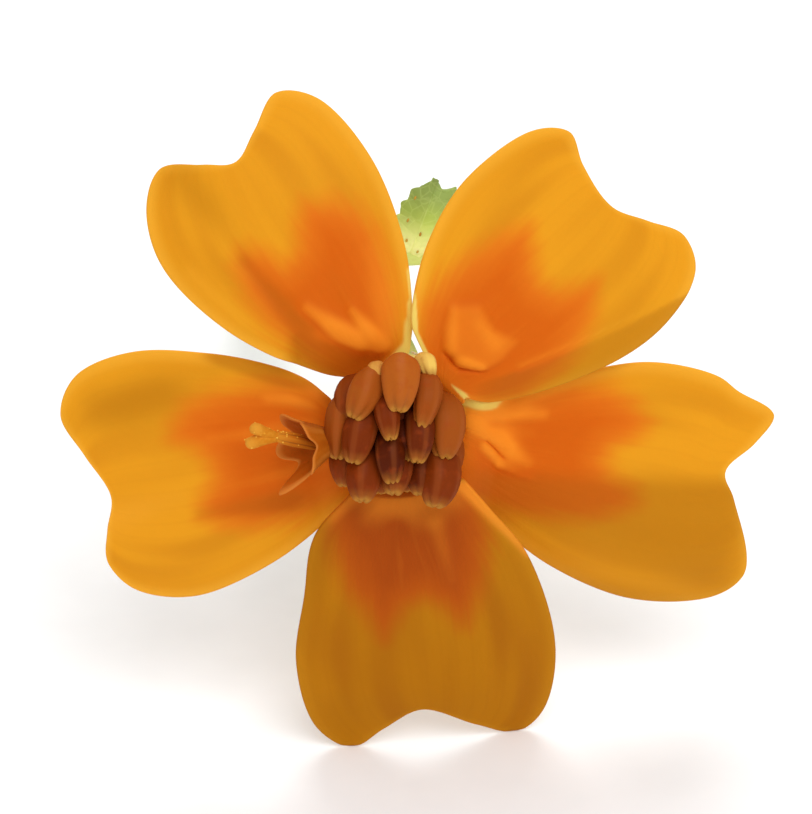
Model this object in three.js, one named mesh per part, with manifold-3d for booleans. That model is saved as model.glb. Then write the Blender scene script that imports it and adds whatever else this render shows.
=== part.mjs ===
// Signet marigold: one bloom picked with its flower stalk and a small upper leaf, lying on its side.
// Millimetres, +Z up. The face of the bloom looks along -Y and a little upwards, the stalk runs back along +Y.
// The origin is the middle of the bounding box, on the surface that the bloom lies on.

import * as THREE from 'three';
import { mergeVertices } from 'three/addons/utils/BufferGeometryUtils.js';
import Module from 'manifold-3d';

const wasm = await Module();
wasm.setup();

const { lerp, smoothstep, degToRad } = THREE.MathUtils;

// The head: x to the right, y up the face and w out of the face, from the level where the rays bend outwards.
const BLOOM_X = -0.78;
const BLOOM_Y = -20.33;
const BLOOM_Z = 12.48;
const FACE_LIFT = degToRad(8);

// Ray florets. In each ray u runs outwards from the middle of the head, v across to the left, w out of the face.
const BLADE_THICKNESS = 0.6;
const CLAW_RADIUS = 1.97;
const CLAW_DEPTH = -0.85;
const NECK_U = 2.35;
const CREST_U = 3.7;
const FALL_START_U = 3;
const FALL_POWER = 1.8;
const FOLD_SPAN = [2, 5];
const RIDGE_HEIGHT = 0.16;
const RIDGE_SPACING = 0.95;
const RIDGE_WIDTH = 0.35;
const RIDGE_START_SPAN = [2.6, 4];
const RIDGE_END_SPAN = [4.2, 7];
const CELLS_ACROSS = 14;
const CELLS_ALONG = 15;

const edge = (...points) => points.map(([u, v]) => new THREE.Vector3(u, v, 0));

// turn: direction in the face, in degrees from +X. base, crest and tip: heights of the blade above the face at its
// neck, just outside it and at its far end. fold: how fast the sides fall away from the midline.
// Each side goes from the ear beside the neck by waist, hip, belly and shoulder to the tip of its lobe.
// The tip edge between the lobes is a notch with a cheek on each side.
const RAYS = {
  ray_floret_upper_left: {
    turn: 121, reach: 11.7, base: 0.5, crest: 0.55, tip: -1.7, fold: 0.03,
    left: edge([2.6, 0.6], [3.3, 1.25], [6.3, 3.15], [9.3, 3.85], [11.2, 3.2], [12.0, 2.1]),
    tipEdge: edge([11.4, 0.8], [10.9, -0.2], [11.4, -1.3]),
    right: edge([2.5, -0.9], [3.0, -1.95], [5.4, -3.5], [8.5, -4.2], [11.1, -3.75], [12.0, -2.6]),
  },
  ray_floret_upper_right: {
    turn: 44, reach: 11.3, base: 0.95, crest: 0.95, tip: -1.1, fold: 0.015,
    left: edge([2.3, 1.1], [2.8, 2.2], [5.2, 4.05], [7.8, 4.65], [10.5, 3.9], [11.35, 2.8]),
    tipEdge: edge([10.85, 1.7], [10.5, 0], [11.0, -1.4]),
    right: edge([2.35, -1.0], [3.2, -1.85], [5.1, -3.1], [8.6, -4.45], [10.9, -4.05], [11.5, -2.8]),
  },
  ray_floret_left: {
    turn: 192.5, reach: 11.3, base: 0.28, crest: -0.05, tip: -1.6, fold: 0.03,
    left: edge([2.0, 1.8], [3.1, 2.55], [5.4, 3.8], [8.6, 4.65], [10.6, 3.9], [11.25, 2.6]),
    tipEdge: edge([10.95, 1.35], [10.5, 0.1], [11.0, -1.5]),
    right: edge([2.2, -1.7], [2.9, -2.6], [5.4, -3.95], [8.4, -4.75], [10.6, -4.3], [11.45, -3.0]),
  },
  ray_floret_right: {
    turn: -12, reach: 13.2, base: 0.28, crest: -0.3, tip: -0.9, fold: 0.045,
    left: edge([2.3, 1.1], [3.1, 1.5], [5.9, 2.6], [8.5, 3.3], [11.1, 3.1], [13.3, 2.05]),
    tipEdge: edge([12.9, 0.9], [12.0, -0.25], [12.6, -1.3]),
    right: edge([2.0, -1.9], [3.2, -2.75], [6.6, -4.85], [10.0, -5.95], [13.0, -5.5], [13.8, -4.2]),
  },
  ray_floret_bottom: {
    turn: -86, reach: 12.9, base: 1.0, crest: 1.0, tip: -1.2, fold: 0.02,
    left: edge([1.85, 1.9], [3.4, 2.75], [5.6, 4.05], [9.3, 4.8], [12.0, 4.2], [12.7, 3.2]),
    tipEdge: edge([12.0, 1.7], [10.9, -0.25], [11.6, -1.6]),
    right: edge([1.85, -2.1], [3.3, -3.55], [5.6, -4.1], [8.4, -4.6], [11.3, -4.05], [12.33, -2.8]),
  },
};

// Involucre: the green cup of fused bracts, with one tooth between each two rays. It narrows to the stalk and bends
// a little to the right.
const RIM_HEIGHT = -0.15;
const RECESS_RADIUS = 2.35;
const RECESS_DEPTH = 0.95;
const CUP_DEPTH = 10.5;
const CUP_WALL = [
  [0.78, CUP_DEPTH], [0.9, 9.7], [1.08, 8], [1.25, 6], [1.46, 4.4], [1.75, 3], [2.05, 1.7], [2.35, 0.6], [2.55, 0],
];
const CUP_BEND = 0.28;
const CUP_BEND_DEPTH = 6;
const CUP_SIDES = 45;
const RIB_COUNT = 5;
const RIB_RELIEF = 0.05;
const RIB_START_SPAN = [0.6, 2];
const RIB_END_SPAN = [8, 10];
const TOOTH_HEIGHT = 0.55;
const TOOTH_HALF_WIDTH = 13;
const TOOTH_TURNS = [84, 158, 233, 311, 17];

// Disc florets: two rings of closed buds that stand on a small dome and hang over a little to the left.
// On the lower side every second bud of a ring stands out further.
const BUD_RINGS = [
  { count: 5, phase: 95, spread: 1.05, height: 3.45, leanX: -0.5, leanY: 0.6 },
  { count: 11, phase: 104, spread: 2.15, height: 2.95, leanX: -0.6, leanY: 0.25 },
];
const BUD_STAGGER = 0.3;
const BUD_HUMP = 1.9;
const BUD_HUMP_HEIGHT = 0.9;
const BUD_FOOT_HEIGHT = 0.2;
const BUD_FOOT_SPREAD = 0.37;
const BUD_RADIUS = 0.66;
const BUD_VARIATION = 0.08;
const BUD_VALVES = 5;
const BUD_PLEAT = 0.1;
const BUD_SIDES = 10;
const BUD_PROFILE = [
  [0, 0], [0.4, 0.03], [0.42, 0.2], [0.55, 0.32], [0.85, 0.46], [1, 0.6], [0.95, 0.74], [0.74, 0.87], [0.34, 0.97],
  [0, 1],
];
const DOME_AXIS = [[0, 0, -0.6], [-0.1, 0.35, 0.75], [-0.6, 0.85, 2.5]];
const DOME_PROFILE = [[0, 0], [0.95, 0], [1.3, 0.15], [1.15, 0.45], [1.2, 0.65], [1.28, 0.84], [0.85, 0.97], [0, 1]];

// Open disc floret that leans out over the left ray: a funnel with five lobes, an anther column and two style arms.
const FUNNEL_AXIS = [[-2.1, -0.05, 1.15], [-2.75, -0.05, 1.45], [-3.85, -0.15, 2.0]];
const FUNNEL_PROFILE = [
  [0, 0], [0.3, 0], [0.34, 0.2], [0.5, 0.42], [0.66, 0.64], [0.8, 0.84], [0.9, 1], [0.66, 0.98], [0.4, 0.74],
  [0, 0.68],
];
const FUNNEL_SIDES = 20;
const LOBE_COUNT = 5;
const LOBE_RELIEF = 0.3;
const LOBE_SPAN = [0.72, 1];
const COLUMN_AXIS = [[-3.1, -0.05, 1.75], [-3.9, 0.12, 1.97], [-4.75, 0.3, 2.2]];
const COLUMN_PROFILE = [[0, 0], [0.2, 0.02], [0.24, 0.5], [0.2, 0.85], [0, 1]];
const STYLE_PROFILE = [[0, 0], [0.15, 0.02], [0.17, 0.6], [0.11, 0.95], [0, 1]];
const STYLE_FOOT = [-4.4, 0.22, 2.1];
const STYLE_BEND = [-5.15, 0.35, 2.3];
const STYLE_TIP = [-5.35, 0.4, 2.4];
const STYLE_SPREAD = 0.4;

// Flower stalk: from the foot of the involucre back and down to its cut end on the surface.
const STALK_PATH = [[0.2, 14.5, 10.3], [-1.8, 22, 8.0], [-1.5, 32, 4.1], [-0.8, 44, 0.35]];
const STALK_TOP_RADIUS = 0.75;
const STALK_RADIUS = 0.58;
const STALK_SIDES = 12;
const STALK_GAP = 0.1;

// Upper leaf: a midrib that runs out to the right of the stalk, with toothed leaflets above and below it.
const LEAF_PATH = [[-1.0, 20.2, 9.4], [1.2, 21.3, 9.4], [3.4, 22.0, 9.0], [6.2, 23.0, 8.5], [8.8, 24.2, 7.4]];
const LEAF_FACING = new THREE.Vector3(0, -0.95, 0.3);
const MIDRIB_PROFILE = [[0, 0], [0.38, 0], [0.38, 0.3], [0.38, 0.55], [0.33, 0.8], [0.3, 1], [0, 1]];
const LEAFLETS = [
  { at: 0.2, reach: [-0.6, 0.3, 3.6], width: 1.5 },
  { at: 0.46, reach: [1.05, 0.3, 3.3], width: 2.1 },
  { at: 0.8, reach: [2.2, 0.3, 3.4], width: 1.7 },
  { at: 0.28, reach: [0.3, 0.3, -3.4], width: 1.4 },
  { at: 0.68, reach: [1.6, 0.3, -3.4], width: 1.6 },
  { at: 0.97, reach: [3.4, 1.6, -1.6], width: 1.9 },
];
const LEAFLET_STATIONS = [0, 0.12, 0.26, 0.3, 0.44, 0.48, 0.62, 0.66, 0.8, 0.84, 1];
const LEAFLET_HALVES = [0.22, 0.5, 0.92, 0.78, 1.06, 0.88, 1.02, 0.8, 0.82, 0.58, 0.12];
const LEAFLET_ARCH = 0.12;

const ALONG_X = new THREE.Vector3(1, 0, 0);
const ALONG_Y = new THREE.Vector3(0, 1, 0);
const UPWARDS = new THREE.Vector3(0, 0, 1);

const point = (place) => new THREE.Vector3(...place);
const curveThrough = (places) => new THREE.QuadraticBezierCurve3(...places.map(point));
const evenRadius = (radius) => radius;

function solid(geometry) {
  const bare = geometry.clone();
  bare.deleteAttribute('normal');
  bare.deleteAttribute('uv');
  const merged = mergeVertices(bare, 1e-4);
  return new wasm.Manifold(new wasm.Mesh({
    numProp: 3,
    vertProperties: new Float32Array(merged.attributes.position.array),
    triVerts: new Uint32Array(merged.index.array),
  }));
}

function geometryOf(body) {
  const mesh = body.getMesh();
  const geometry = new THREE.BufferGeometry();
  geometry.setAttribute('position', new THREE.BufferAttribute(new Float32Array(mesh.vertProperties), 3));
  geometry.setIndex(new THREE.BufferAttribute(new Uint32Array(mesh.triVerts), 1));
  geometry.computeVertexNormals();
  return geometry;
}

function fuse(geometries) {
  return geometryOf(geometries.map(solid).reduce((whole, next) => whole.add(next)));
}

function sheetGeometry(positions, triangles) {
  const geometry = new THREE.BufferGeometry();
  geometry.setAttribute('position', new THREE.Float32BufferAttribute(positions.flatMap((p) => p.toArray()), 3));
  geometry.setIndex(triangles.flat());
  geometry.computeVertexNormals();
  return geometry;
}

// A blade: the mid surface given as rows of points, thickened by half to each side.
// Both faces are split alike. The split turns over at the midline, so that each lobe tip is shared by two triangles.
function blade(rows, thickness) {
  const last = rows.length - 1;
  const side = rows[0].length - 1;
  const front = [];
  const back = [];
  rows.forEach((row, j) => row.forEach((point, i) => {
    const across = row[Math.min(i + 1, side)].clone().sub(row[Math.max(i - 1, 0)]);
    const along = rows[Math.min(j + 1, last)][i].clone().sub(rows[Math.max(j - 1, 0)][i]);
    const half = across.cross(along).setLength(thickness / 2);
    front.push(point.clone().add(half));
    back.push(point.clone().sub(half));
  }));
  const count = front.length;
  const at = (i, j) => j * (side + 1) + i;
  const triangles = [];
  for (let j = 0; j < last; j += 1) {
    for (let i = 0; i < side; i += 1) {
      const [a, b, c, d] = [at(i, j), at(i + 1, j), at(i + 1, j + 1), at(i, j + 1)];
      const cell = i < side / 2 ? [[a, b, d], [b, c, d]] : [[a, b, c], [a, c, d]];
      for (const [p, q, r] of cell) {
        triangles.push([p, q, r], [count + p, count + r, count + q]);
      }
    }
  }
  const steps = (length) => Array.from({ length }, (_, k) => k);
  const rim = [
    ...steps(side).map((i) => at(i, 0)),
    ...steps(last).map((j) => at(side, j)),
    ...steps(side).map((i) => at(side - i, last)),
    ...steps(last).map((j) => at(0, last - j)),
  ];
  rim.forEach((p, k) => {
    const q = rim[(k + 1) % rim.length];
    triangles.push([p, count + p, q], [q, count + p, count + q]);
  });
  return sheetGeometry([...front, ...back], triangles);
}

// One smooth outline from the left ear round the two lobes to the right ear.
// It is read in stretches between two of its points, at even steps along the edge.
function rayOutline(ray) {
  const points = [...ray.left, ...ray.tipEdge, ...ray.right.slice().reverse()];
  const curve = new THREE.CatmullRomCurve3(points, false, 'centripetal');
  const steps = 40;
  curve.arcLengthDivisions = steps * (points.length - 1);
  const lengths = curve.getLengths();
  const share = (point) => lengths[points.indexOf(point) * steps] / lengths[lengths.length - 1];
  return (from, to, t) => curve.getPointAt(lerp(share(from), share(to), t));
}

function rayHeight(ray, u, v) {
  const rise = lerp(ray.base, ray.crest, smoothstep(u, NECK_U, CREST_U));
  const along = Math.max(0, (u - FALL_START_U) / (ray.reach - FALL_START_U));
  const fall = (ray.crest - ray.tip) * along ** FALL_POWER;
  const fold = ray.fold * v * v * smoothstep(u, ...FOLD_SPAN);
  const ridgeSpan = smoothstep(u, ...RIDGE_START_SPAN) * (1 - smoothstep(u, ...RIDGE_END_SPAN));
  const ridges = RIDGE_HEIGHT * ridgeSpan * Math.exp(-(((Math.abs(v) - RIDGE_SPACING) / RIDGE_WIDTH) ** 2));
  return rise - fall - fold + ridges;
}

// A ray: a flat claw that rises from the involucre, and a blade fitted between the two sides, neck and tip edge.
function rayFloret(ray) {
  const turn = degToRad(ray.turn);
  const outwards = new THREE.Vector3(Math.cos(turn), Math.sin(turn), 0);
  const leftwards = new THREE.Vector3(-Math.sin(turn), Math.cos(turn), 0);
  const place = (u, v, w) => new THREE.Vector3(0, 0, w).addScaledVector(outwards, u).addScaledVector(leftwards, v);
  const shares = Array.from({ length: CELLS_ACROSS + 1 }, (_, i) => 1 - i / CELLS_ACROSS);

  const claw = [
    { u: CLAW_RADIUS, w: CLAW_DEPTH, half: 0.42 },
    { u: CLAW_RADIUS, w: ray.base - 0.5, half: 0.46 },
    { u: CLAW_RADIUS + 0.07, w: ray.base - 0.2, half: 0.58 },
    { u: CLAW_RADIUS + 0.2, w: ray.base - 0.05, half: 0.74 },
  ];
  const rows = claw.map(({ u, w, half }) => shares.map((share) => place(u, lerp(half, -half, share), w)));

  const outline = rayOutline(ray);
  const [leftEar, rightEar] = [ray.left[0], ray.right[0]];
  const [leftLobe, rightLobe] = [ray.left.at(-1), ray.right.at(-1)];
  const neckBulge = NECK_U - (leftEar.x + rightEar.x) / 2;
  for (let j = 0; j <= CELLS_ALONG; j += 1) {
    const t = j / CELLS_ALONG;
    const left = outline(leftEar, leftLobe, t);
    const right = outline(rightEar, rightLobe, t);
    rows.push(shares.map((share) => {
      const near = leftEar.clone().lerp(rightEar, share);
      const neck = near.clone().addScaledVector(ALONG_X, 4 * share * (1 - share) * neckBulge);
      const far = leftLobe.clone().lerp(rightLobe, share);
      const tip = outline(leftLobe, rightLobe, share);
      const flat = left.clone().lerp(right, share).add(neck.lerp(tip, t)).sub(near.lerp(far, t));
      return place(flat.x, flat.y, rayHeight(ray, flat.x, flat.y));
    }));
  }
  return blade(rows, BLADE_THICKNESS);
}

// A body turned about +Y is bent so that its axis follows a curve.
function bendAlong(turned, curve, reference) {
  const position = turned.attributes.position;
  const bent = new THREE.Vector3();
  for (let k = 0; k < position.count; k += 1) {
    const t = THREE.MathUtils.clamp(position.getY(k), 0, 1);
    const tangent = curve.getTangentAt(t);
    const side = tangent.clone().cross(reference).normalize();
    const up = side.clone().cross(tangent);
    bent.copy(curve.getPointAt(t)).addScaledVector(up, position.getX(k)).addScaledVector(side, -position.getZ(k));
    position.setXYZ(k, bent.x, bent.y, bent.z);
  }
  return turned;
}

// A body turned about +Y from radius and height pairs, whose radius may change round it.
function turnedBody(profile, sides, radiusAt) {
  const geometry = new THREE.LatheGeometry(profile.map(([r, y]) => new THREE.Vector2(r, y)), sides);
  const position = geometry.attributes.position;
  for (let k = 0; k < position.count; k += 1) {
    const [x, y, z] = [position.getX(k), position.getY(k), position.getZ(k)];
    const radius = Math.hypot(x, z);
    const scale = radius > 0 ? radiusAt(radius, Math.atan2(z, x), y) / radius : 1;
    position.setXYZ(k, x * scale, y, z * scale);
  }
  return geometry;
}

function involucre() {
  const toothAt = (turn) => Math.max(...TOOTH_TURNS.map((middle) => {
    const away = Math.abs(((((turn - middle) % 360) + 540) % 360) - 180);
    return Math.max(0, 1 - away / TOOTH_HALF_WIDTH);
  }));
  const outside = CUP_WALL.map(([radius, depth]) => [radius, -depth]);
  const inside = [[RECESS_RADIUS, 0], [RECESS_RADIUS, -RECESS_DEPTH], [0, -RECESS_DEPTH]];
  const ribbed = (radius, around, y) => {
    const swell = smoothstep(-y, ...RIB_START_SPAN) * (1 - smoothstep(-y, ...RIB_END_SPAN));
    return radius * (1 + RIB_RELIEF * swell * Math.cos(RIB_COUNT * (around - degToRad(TOOTH_TURNS[0]))));
  };
  const cup = turnedBody([[0, -CUP_DEPTH], ...outside, ...inside], CUP_SIDES, ribbed);
  const position = cup.attributes.position;
  for (let k = 0; k < position.count; k += 1) {
    const [x, y, z] = [position.getX(k), position.getY(k), -position.getZ(k)];
    const turn = THREE.MathUtils.radToDeg(Math.atan2(z, x));
    const tooth = y === 0 ? toothAt(turn) * TOOTH_HEIGHT : 0;
    position.setXYZ(k, x + cupLean(-y), z, y + RIM_HEIGHT + tooth);
  }
  return geometryOf(solid(cup));
}

function cupLean(depth) {
  return CUP_BEND * (Math.max(0, depth) / CUP_BEND_DEPTH) ** 2;
}

function discFlorets() {
  const parts = [bendAlong(turnedBody(DOME_PROFILE, 16, evenRadius), curveThrough(DOME_AXIS), ALONG_X)];
  for (const ring of BUD_RINGS) {
    for (let k = 0; k < ring.count; k += 1) {
      const turn = degToRad(ring.phase - (360 * k) / ring.count);
      const stagger = BUD_STAGGER * Math.max(0, -Math.sin(turn)) * (k % 2 === 0 ? -1 : 1);
      const x = Math.cos(turn) * (ring.spread + stagger);
      const y = Math.sin(turn) * (ring.spread + stagger);
      const foot = [x * BUD_FOOT_SPREAD, y * BUD_FOOT_SPREAD, BUD_FOOT_HEIGHT];
      const tip = [x + ring.leanX, y + ring.leanY, ring.height];
      const middle = [
        lerp(foot[0], tip[0], 0.5),
        lerp(foot[1], tip[1], 0.5) + BUD_HUMP,
        lerp(BUD_FOOT_HEIGHT, ring.height, BUD_HUMP_HEIGHT),
      ];
      const radius = BUD_RADIUS * (1 + BUD_VARIATION * Math.cos(3 * k));
      const profile = BUD_PROFILE.map(([share, t]) => [share * radius, t]);
      const pleated = (r, around) => r * (1 + BUD_PLEAT * Math.cos(BUD_VALVES * around));
      parts.push(bendAlong(turnedBody(profile, BUD_SIDES, pleated), curveThrough([foot, middle, tip]), ALONG_X));
    }
  }
  return fuse(parts);
}

function openDiscFloret() {
  const lobed = (radius, around, t) => {
    const relief = LOBE_RELIEF * smoothstep(t, ...LOBE_SPAN);
    return radius * (1 + relief * Math.cos(LOBE_COUNT * around));
  };
  const parts = [
    bendAlong(turnedBody(FUNNEL_PROFILE, FUNNEL_SIDES, lobed), curveThrough(FUNNEL_AXIS), ALONG_Y),
    bendAlong(turnedBody(COLUMN_PROFILE, 8, evenRadius), curveThrough(COLUMN_AXIS), ALONG_Y),
  ];
  for (const way of [-1, 1]) {
    const arm = curveThrough([STYLE_FOOT, STYLE_BEND, STYLE_TIP]);
    arm.v1.y += way * STYLE_SPREAD / 4;
    arm.v2.y += way * STYLE_SPREAD;
    parts.push(bendAlong(turnedBody(STYLE_PROFILE, 8, evenRadius), arm, UPWARDS));
  }
  return fuse(parts);
}

// Everything below the surface that the bloom lies on is cut away, which leaves small flats.
function restOnSurface(geometry) {
  const ground = new THREE.BoxGeometry(120, 120, 20).translate(0, 0, -10);
  return geometryOf(solid(geometry).subtract(solid(ground)));
}

function stalk(top) {
  const path = new THREE.CatmullRomCurve3([top, ...STALK_PATH.map(point)]);
  const neck = [[0, 0], [STALK_TOP_RADIUS, 0], [STALK_TOP_RADIUS, 0.03], [0.64, 0.1], [STALK_RADIUS, 0.25]];
  const shaft = Array.from({ length: 15 }, (_, k) => [STALK_RADIUS, 0.3 + k * 0.05]);
  const turned = turnedBody([...neck, ...shaft, [0, 1]], STALK_SIDES, evenRadius);
  return restOnSurface(bendAlong(turned, path, ALONG_X));
}

// A leaflet: a narrow toothed blade on its own straight midrib, from its foot to its tip.
function leaflet(foot, reach, width) {
  const across = reach.clone().cross(LEAF_FACING).normalize();
  const face = across.clone().cross(reach).normalize();
  const rows = LEAFLET_STATIONS.map((t, j) => [-1, -0.5, 0, 0.5, 1].map((s) => {
    const arch = LEAFLET_ARCH * width * (1 - s * s) * Math.sin(Math.PI * t);
    const sideways = s * LEAFLET_HALVES[j] * width / 2;
    return foot.clone().addScaledVector(reach, t).addScaledVector(across, sideways).addScaledVector(face, arch);
  }));
  return blade(rows, BLADE_THICKNESS);
}

function upperLeaf() {
  const midrib = new THREE.CatmullRomCurve3(LEAF_PATH.map(point));
  const parts = [bendAlong(turnedBody(MIDRIB_PROFILE, 8, evenRadius), midrib, UPWARDS)];
  for (const { at, reach, width } of LEAFLETS) {
    parts.push(leaflet(midrib.getPointAt(at), point(reach), width));
  }
  return fuse(parts);
}

const bloom = new THREE.Group();
bloom.position.set(BLOOM_X, BLOOM_Y, 0);

const head = new THREE.Group();
head.position.set(0, 0, BLOOM_Z);
head.rotation.x = Math.PI / 2 - FACE_LIFT;
head.updateMatrix();
bloom.add(head);

function addPiece(group, name, geometry, color, roughness) {
  const mesh = new THREE.Mesh(geometry, new THREE.MeshStandardMaterial({ color, roughness, metalness: 0 }));
  mesh.name = name;
  group.add(mesh);
}

for (const [name, ray] of Object.entries(RAYS)) {
  if (name === 'ray_floret_bottom') {
    addPiece(bloom, name, restOnSurface(rayFloret(ray).applyMatrix4(head.matrix)), 0xb5760f, 0.55);
  } else {
    addPiece(head, name, rayFloret(ray), 0xe59a20, 0.55);
  }
}
addPiece(head, 'involucre', involucre(), 0xb9bf52, 0.6);
addPiece(head, 'disc_florets', discFlorets(), 0x7a3312, 0.6);
addPiece(head, 'open_disc_floret', openDiscFloret(), 0xd9832a, 0.6);

const cupFoot = point([cupLean(CUP_DEPTH), 0, RIM_HEIGHT - CUP_DEPTH - STALK_GAP]).applyMatrix4(head.matrix);
addPiece(bloom, 'stalk', stalk(cupFoot), 0x8fa548, 0.65);
addPiece(bloom, 'upper_leaf', upperLeaf(), 0x7f9a45, 0.65);

export default bloom;
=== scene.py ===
"""Signet marigold: one bloom picked with its flower stalk and a small upper leaf, lying on its side."""

import math
import random

import bpy
from mathutils import Matrix, Vector, noise


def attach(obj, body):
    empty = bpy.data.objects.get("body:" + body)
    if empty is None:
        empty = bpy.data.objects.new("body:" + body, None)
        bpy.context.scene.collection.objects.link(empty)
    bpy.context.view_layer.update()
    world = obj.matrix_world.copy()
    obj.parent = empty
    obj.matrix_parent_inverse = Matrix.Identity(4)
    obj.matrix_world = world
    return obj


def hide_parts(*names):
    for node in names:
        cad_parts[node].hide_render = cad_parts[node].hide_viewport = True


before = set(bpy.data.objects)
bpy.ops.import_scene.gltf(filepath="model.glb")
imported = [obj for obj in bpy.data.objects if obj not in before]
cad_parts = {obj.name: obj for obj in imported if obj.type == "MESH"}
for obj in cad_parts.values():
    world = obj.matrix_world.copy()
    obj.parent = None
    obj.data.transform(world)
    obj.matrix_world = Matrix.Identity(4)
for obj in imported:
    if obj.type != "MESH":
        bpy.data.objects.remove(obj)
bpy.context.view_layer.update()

draw = random.Random(11)

MM = 0.001

# The head: x to the right, y up the face and w out of it, in mm from the level where the rays bend outwards.
HEAD = Vector((-0.78, -20.33, 12.48))
BLOOM = Vector((HEAD.x, HEAD.y, 0))
FACE_LIFT = math.radians(8)
FACE_UP = Vector((0, math.sin(FACE_LIFT), math.cos(FACE_LIFT)))
FACE_OUT = Vector((0, -math.cos(FACE_LIFT), math.sin(FACE_LIFT)))
ALONG_X = Vector((1, 0, 0))
ALONG_Z = Vector((0, 0, 1))


def on_head(x, y, w):
    return HEAD + ALONG_X * x + FACE_UP * y + FACE_OUT * w


def direction(turn, height):
    """The way from the head to what looks at it, by its turn from the front and its height in degrees."""
    a, e = math.radians(turn), math.radians(height)
    return Vector((math.sin(a) * math.cos(e), -math.cos(a) * math.cos(e), math.sin(e)))


# Camera: the head is seen from a little to its left and from above, from 140 mm away. Its place in the
# picture is in pixels to the right of the middle and above it.
CAMERA_TURN = -8
CAMERA_HEIGHT = 26
CAMERA_DISTANCE = 140
MM_PER_PIXEL = 0.035
PICTURE_WIDTH = 812
SENSOR = 36
HEAD_IN_PICTURE = Vector((-3, -18, 0))
NEAREST_SEEN = 5 * MM
FURTHEST_SEEN = 5

backwards = direction(CAMERA_TURN, CAMERA_HEIGHT)
look = (-backwards).to_track_quat("-Z", "Y")
aim = HEAD - look @ HEAD_IN_PICTURE * MM_PER_PIXEL
bpy.ops.object.camera_add(location=(aim + backwards * CAMERA_DISTANCE) * MM, rotation=look.to_euler())
camera = bpy.context.object
camera.data.sensor_fit = "HORIZONTAL"
camera.data.sensor_width = SENSOR
camera.data.lens = SENSOR * CAMERA_DISTANCE / (MM_PER_PIXEL * PICTURE_WIDTH)
camera.data.clip_start = NEAREST_SEEN
camera.data.clip_end = FURTHEST_SEEN
bpy.context.scene.camera = camera


def clamp(x):
    return min(1, max(0, x))


def smooth(x, low, high):
    share = clamp((x - low) / (high - low))
    return share * share * (3 - 2 * share)


def bell(distance, width):
    return math.exp(-((distance / width) ** 2))


def mix(a, b, share):
    return a + (b - a) * share


def stepped(stations, x):
    """The value at x between pairs of place and value."""
    for (x0, value0), (x1, value1) in zip(stations, stations[1:]):
        if x <= x1:
            return mix(value0, value1, max(0, (x - x0) / (x1 - x0)))
    return stations[-1][1]


def smooth_line(points, steps):
    """Points on a centripetal spline through the given ones, with so many steps between each two."""
    ends = [points[0] * 2 - points[1], *points, points[-1] * 2 - points[-2]]
    line = []
    for p0, p1, p2, p3 in zip(ends, ends[1:], ends[2:], ends[3:]):
        d0, d1, d2 = (max((b - a).length ** 0.5, 1e-4) for a, b in ((p0, p1), (p1, p2), (p2, p3)))
        leave = ((p1 - p0) / d0 - (p2 - p0) / (d0 + d1) + (p2 - p1) / d1) * d1
        reach = ((p2 - p1) / d1 - (p3 - p1) / (d1 + d2) + (p3 - p2) / d2) * d1
        for k in range(steps):
            t = k / steps
            line.append(
                p1 * (2 * t**3 - 3 * t**2 + 1) + leave * (t**3 - 2 * t**2 + t)
                + p2 * (3 * t**2 - 2 * t**3) + reach * (t**3 - t**2)
            )
    return [*line, points[-1]]


class Path:
    """A line of points that is read by its length."""

    def __init__(self, points):
        self.points = points
        self.lengths = [0]
        for a, b in zip(points, points[1:]):
            self.lengths.append(self.lengths[-1] + (b - a).length)

    def at(self, length):
        """The point at that length, and the direction there."""
        k = 1
        while k < len(self.points) - 1 and self.lengths[k] < length:
            k += 1
        a, b = self.points[k - 1], self.points[k]
        step = self.lengths[k] - self.lengths[k - 1]
        return a.lerp(b, (length - self.lengths[k - 1]) / step), (b - a).normalized()

    def share(self, share):
        return self.at(share * self.lengths[-1])


ARC_STEPS = 32


def head_arc(points):
    """A path on the head that leaves the first point towards the second and comes from there to the third."""
    start, middle, end = (Vector(p) for p in points)
    shares = [k / ARC_STEPS for k in range(ARC_STEPS + 1)]
    return Path([on_head(*(start * (1 - t) ** 2 + middle * 2 * t * (1 - t) + end * t * t)) for t in shares])


def only(piece):
    bpy.ops.object.select_all(action="DESELECT")
    piece.select_set(True)
    bpy.context.view_layer.objects.active = piece


def primitive(name, add, **settings):
    """A piece that starts as one of Blender's primitives, with nothing else selected."""
    bpy.ops.object.select_all(action="DESELECT")
    add(**settings)
    piece = bpy.context.object
    piece.name = piece.data.name = name
    return piece


def apply_modifier(piece, kind, **settings):
    only(piece)
    modifier = piece.modifiers.new(kind.title(), kind)
    for name, value in settings.items():
        setattr(modifier, name, value)
    bpy.ops.object.modifier_apply(modifier=modifier.name)


def round_off(piece):
    apply_modifier(piece, "SUBSURF", levels=1, render_levels=1)
    bpy.ops.object.shade_smooth()


def finish(piece, material):
    """The same material all over, and rounded off."""
    piece.data.materials.append(material)
    round_off(piece)
    return piece


def write_attribute(piece, name, values):
    layer = piece.data.attributes.new(name, "FLOAT_VECTOR", "POINT")
    layer.data.foreach_set("vector", [number for value in values for number in value])


def join(parts, name):
    only(parts[0])
    for part in parts:
        part.select_set(True)
    bpy.ops.object.join()
    parts[0].name = parts[0].data.name = name
    return parts[0]


def copy_of(piece):
    twin = piece.copy()
    twin.data = piece.data.copy()
    bpy.context.collection.objects.link(twin)
    return twin


def sheet(name, across, along, place):
    """A grid whose points are laid by place(s, t): s runs across from 0 to 1 and t along from 0 to 1."""
    piece = primitive(
        name, bpy.ops.mesh.primitive_grid_add, x_subdivisions=across, y_subdivisions=along, size=MM,
    )
    for vertex in piece.data.vertices:
        s, t = (round(vertex.co[k] / MM + 0.5, 5) for k in (0, 1))
        vertex.co = place(s, t) * MM
    return piece


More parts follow.
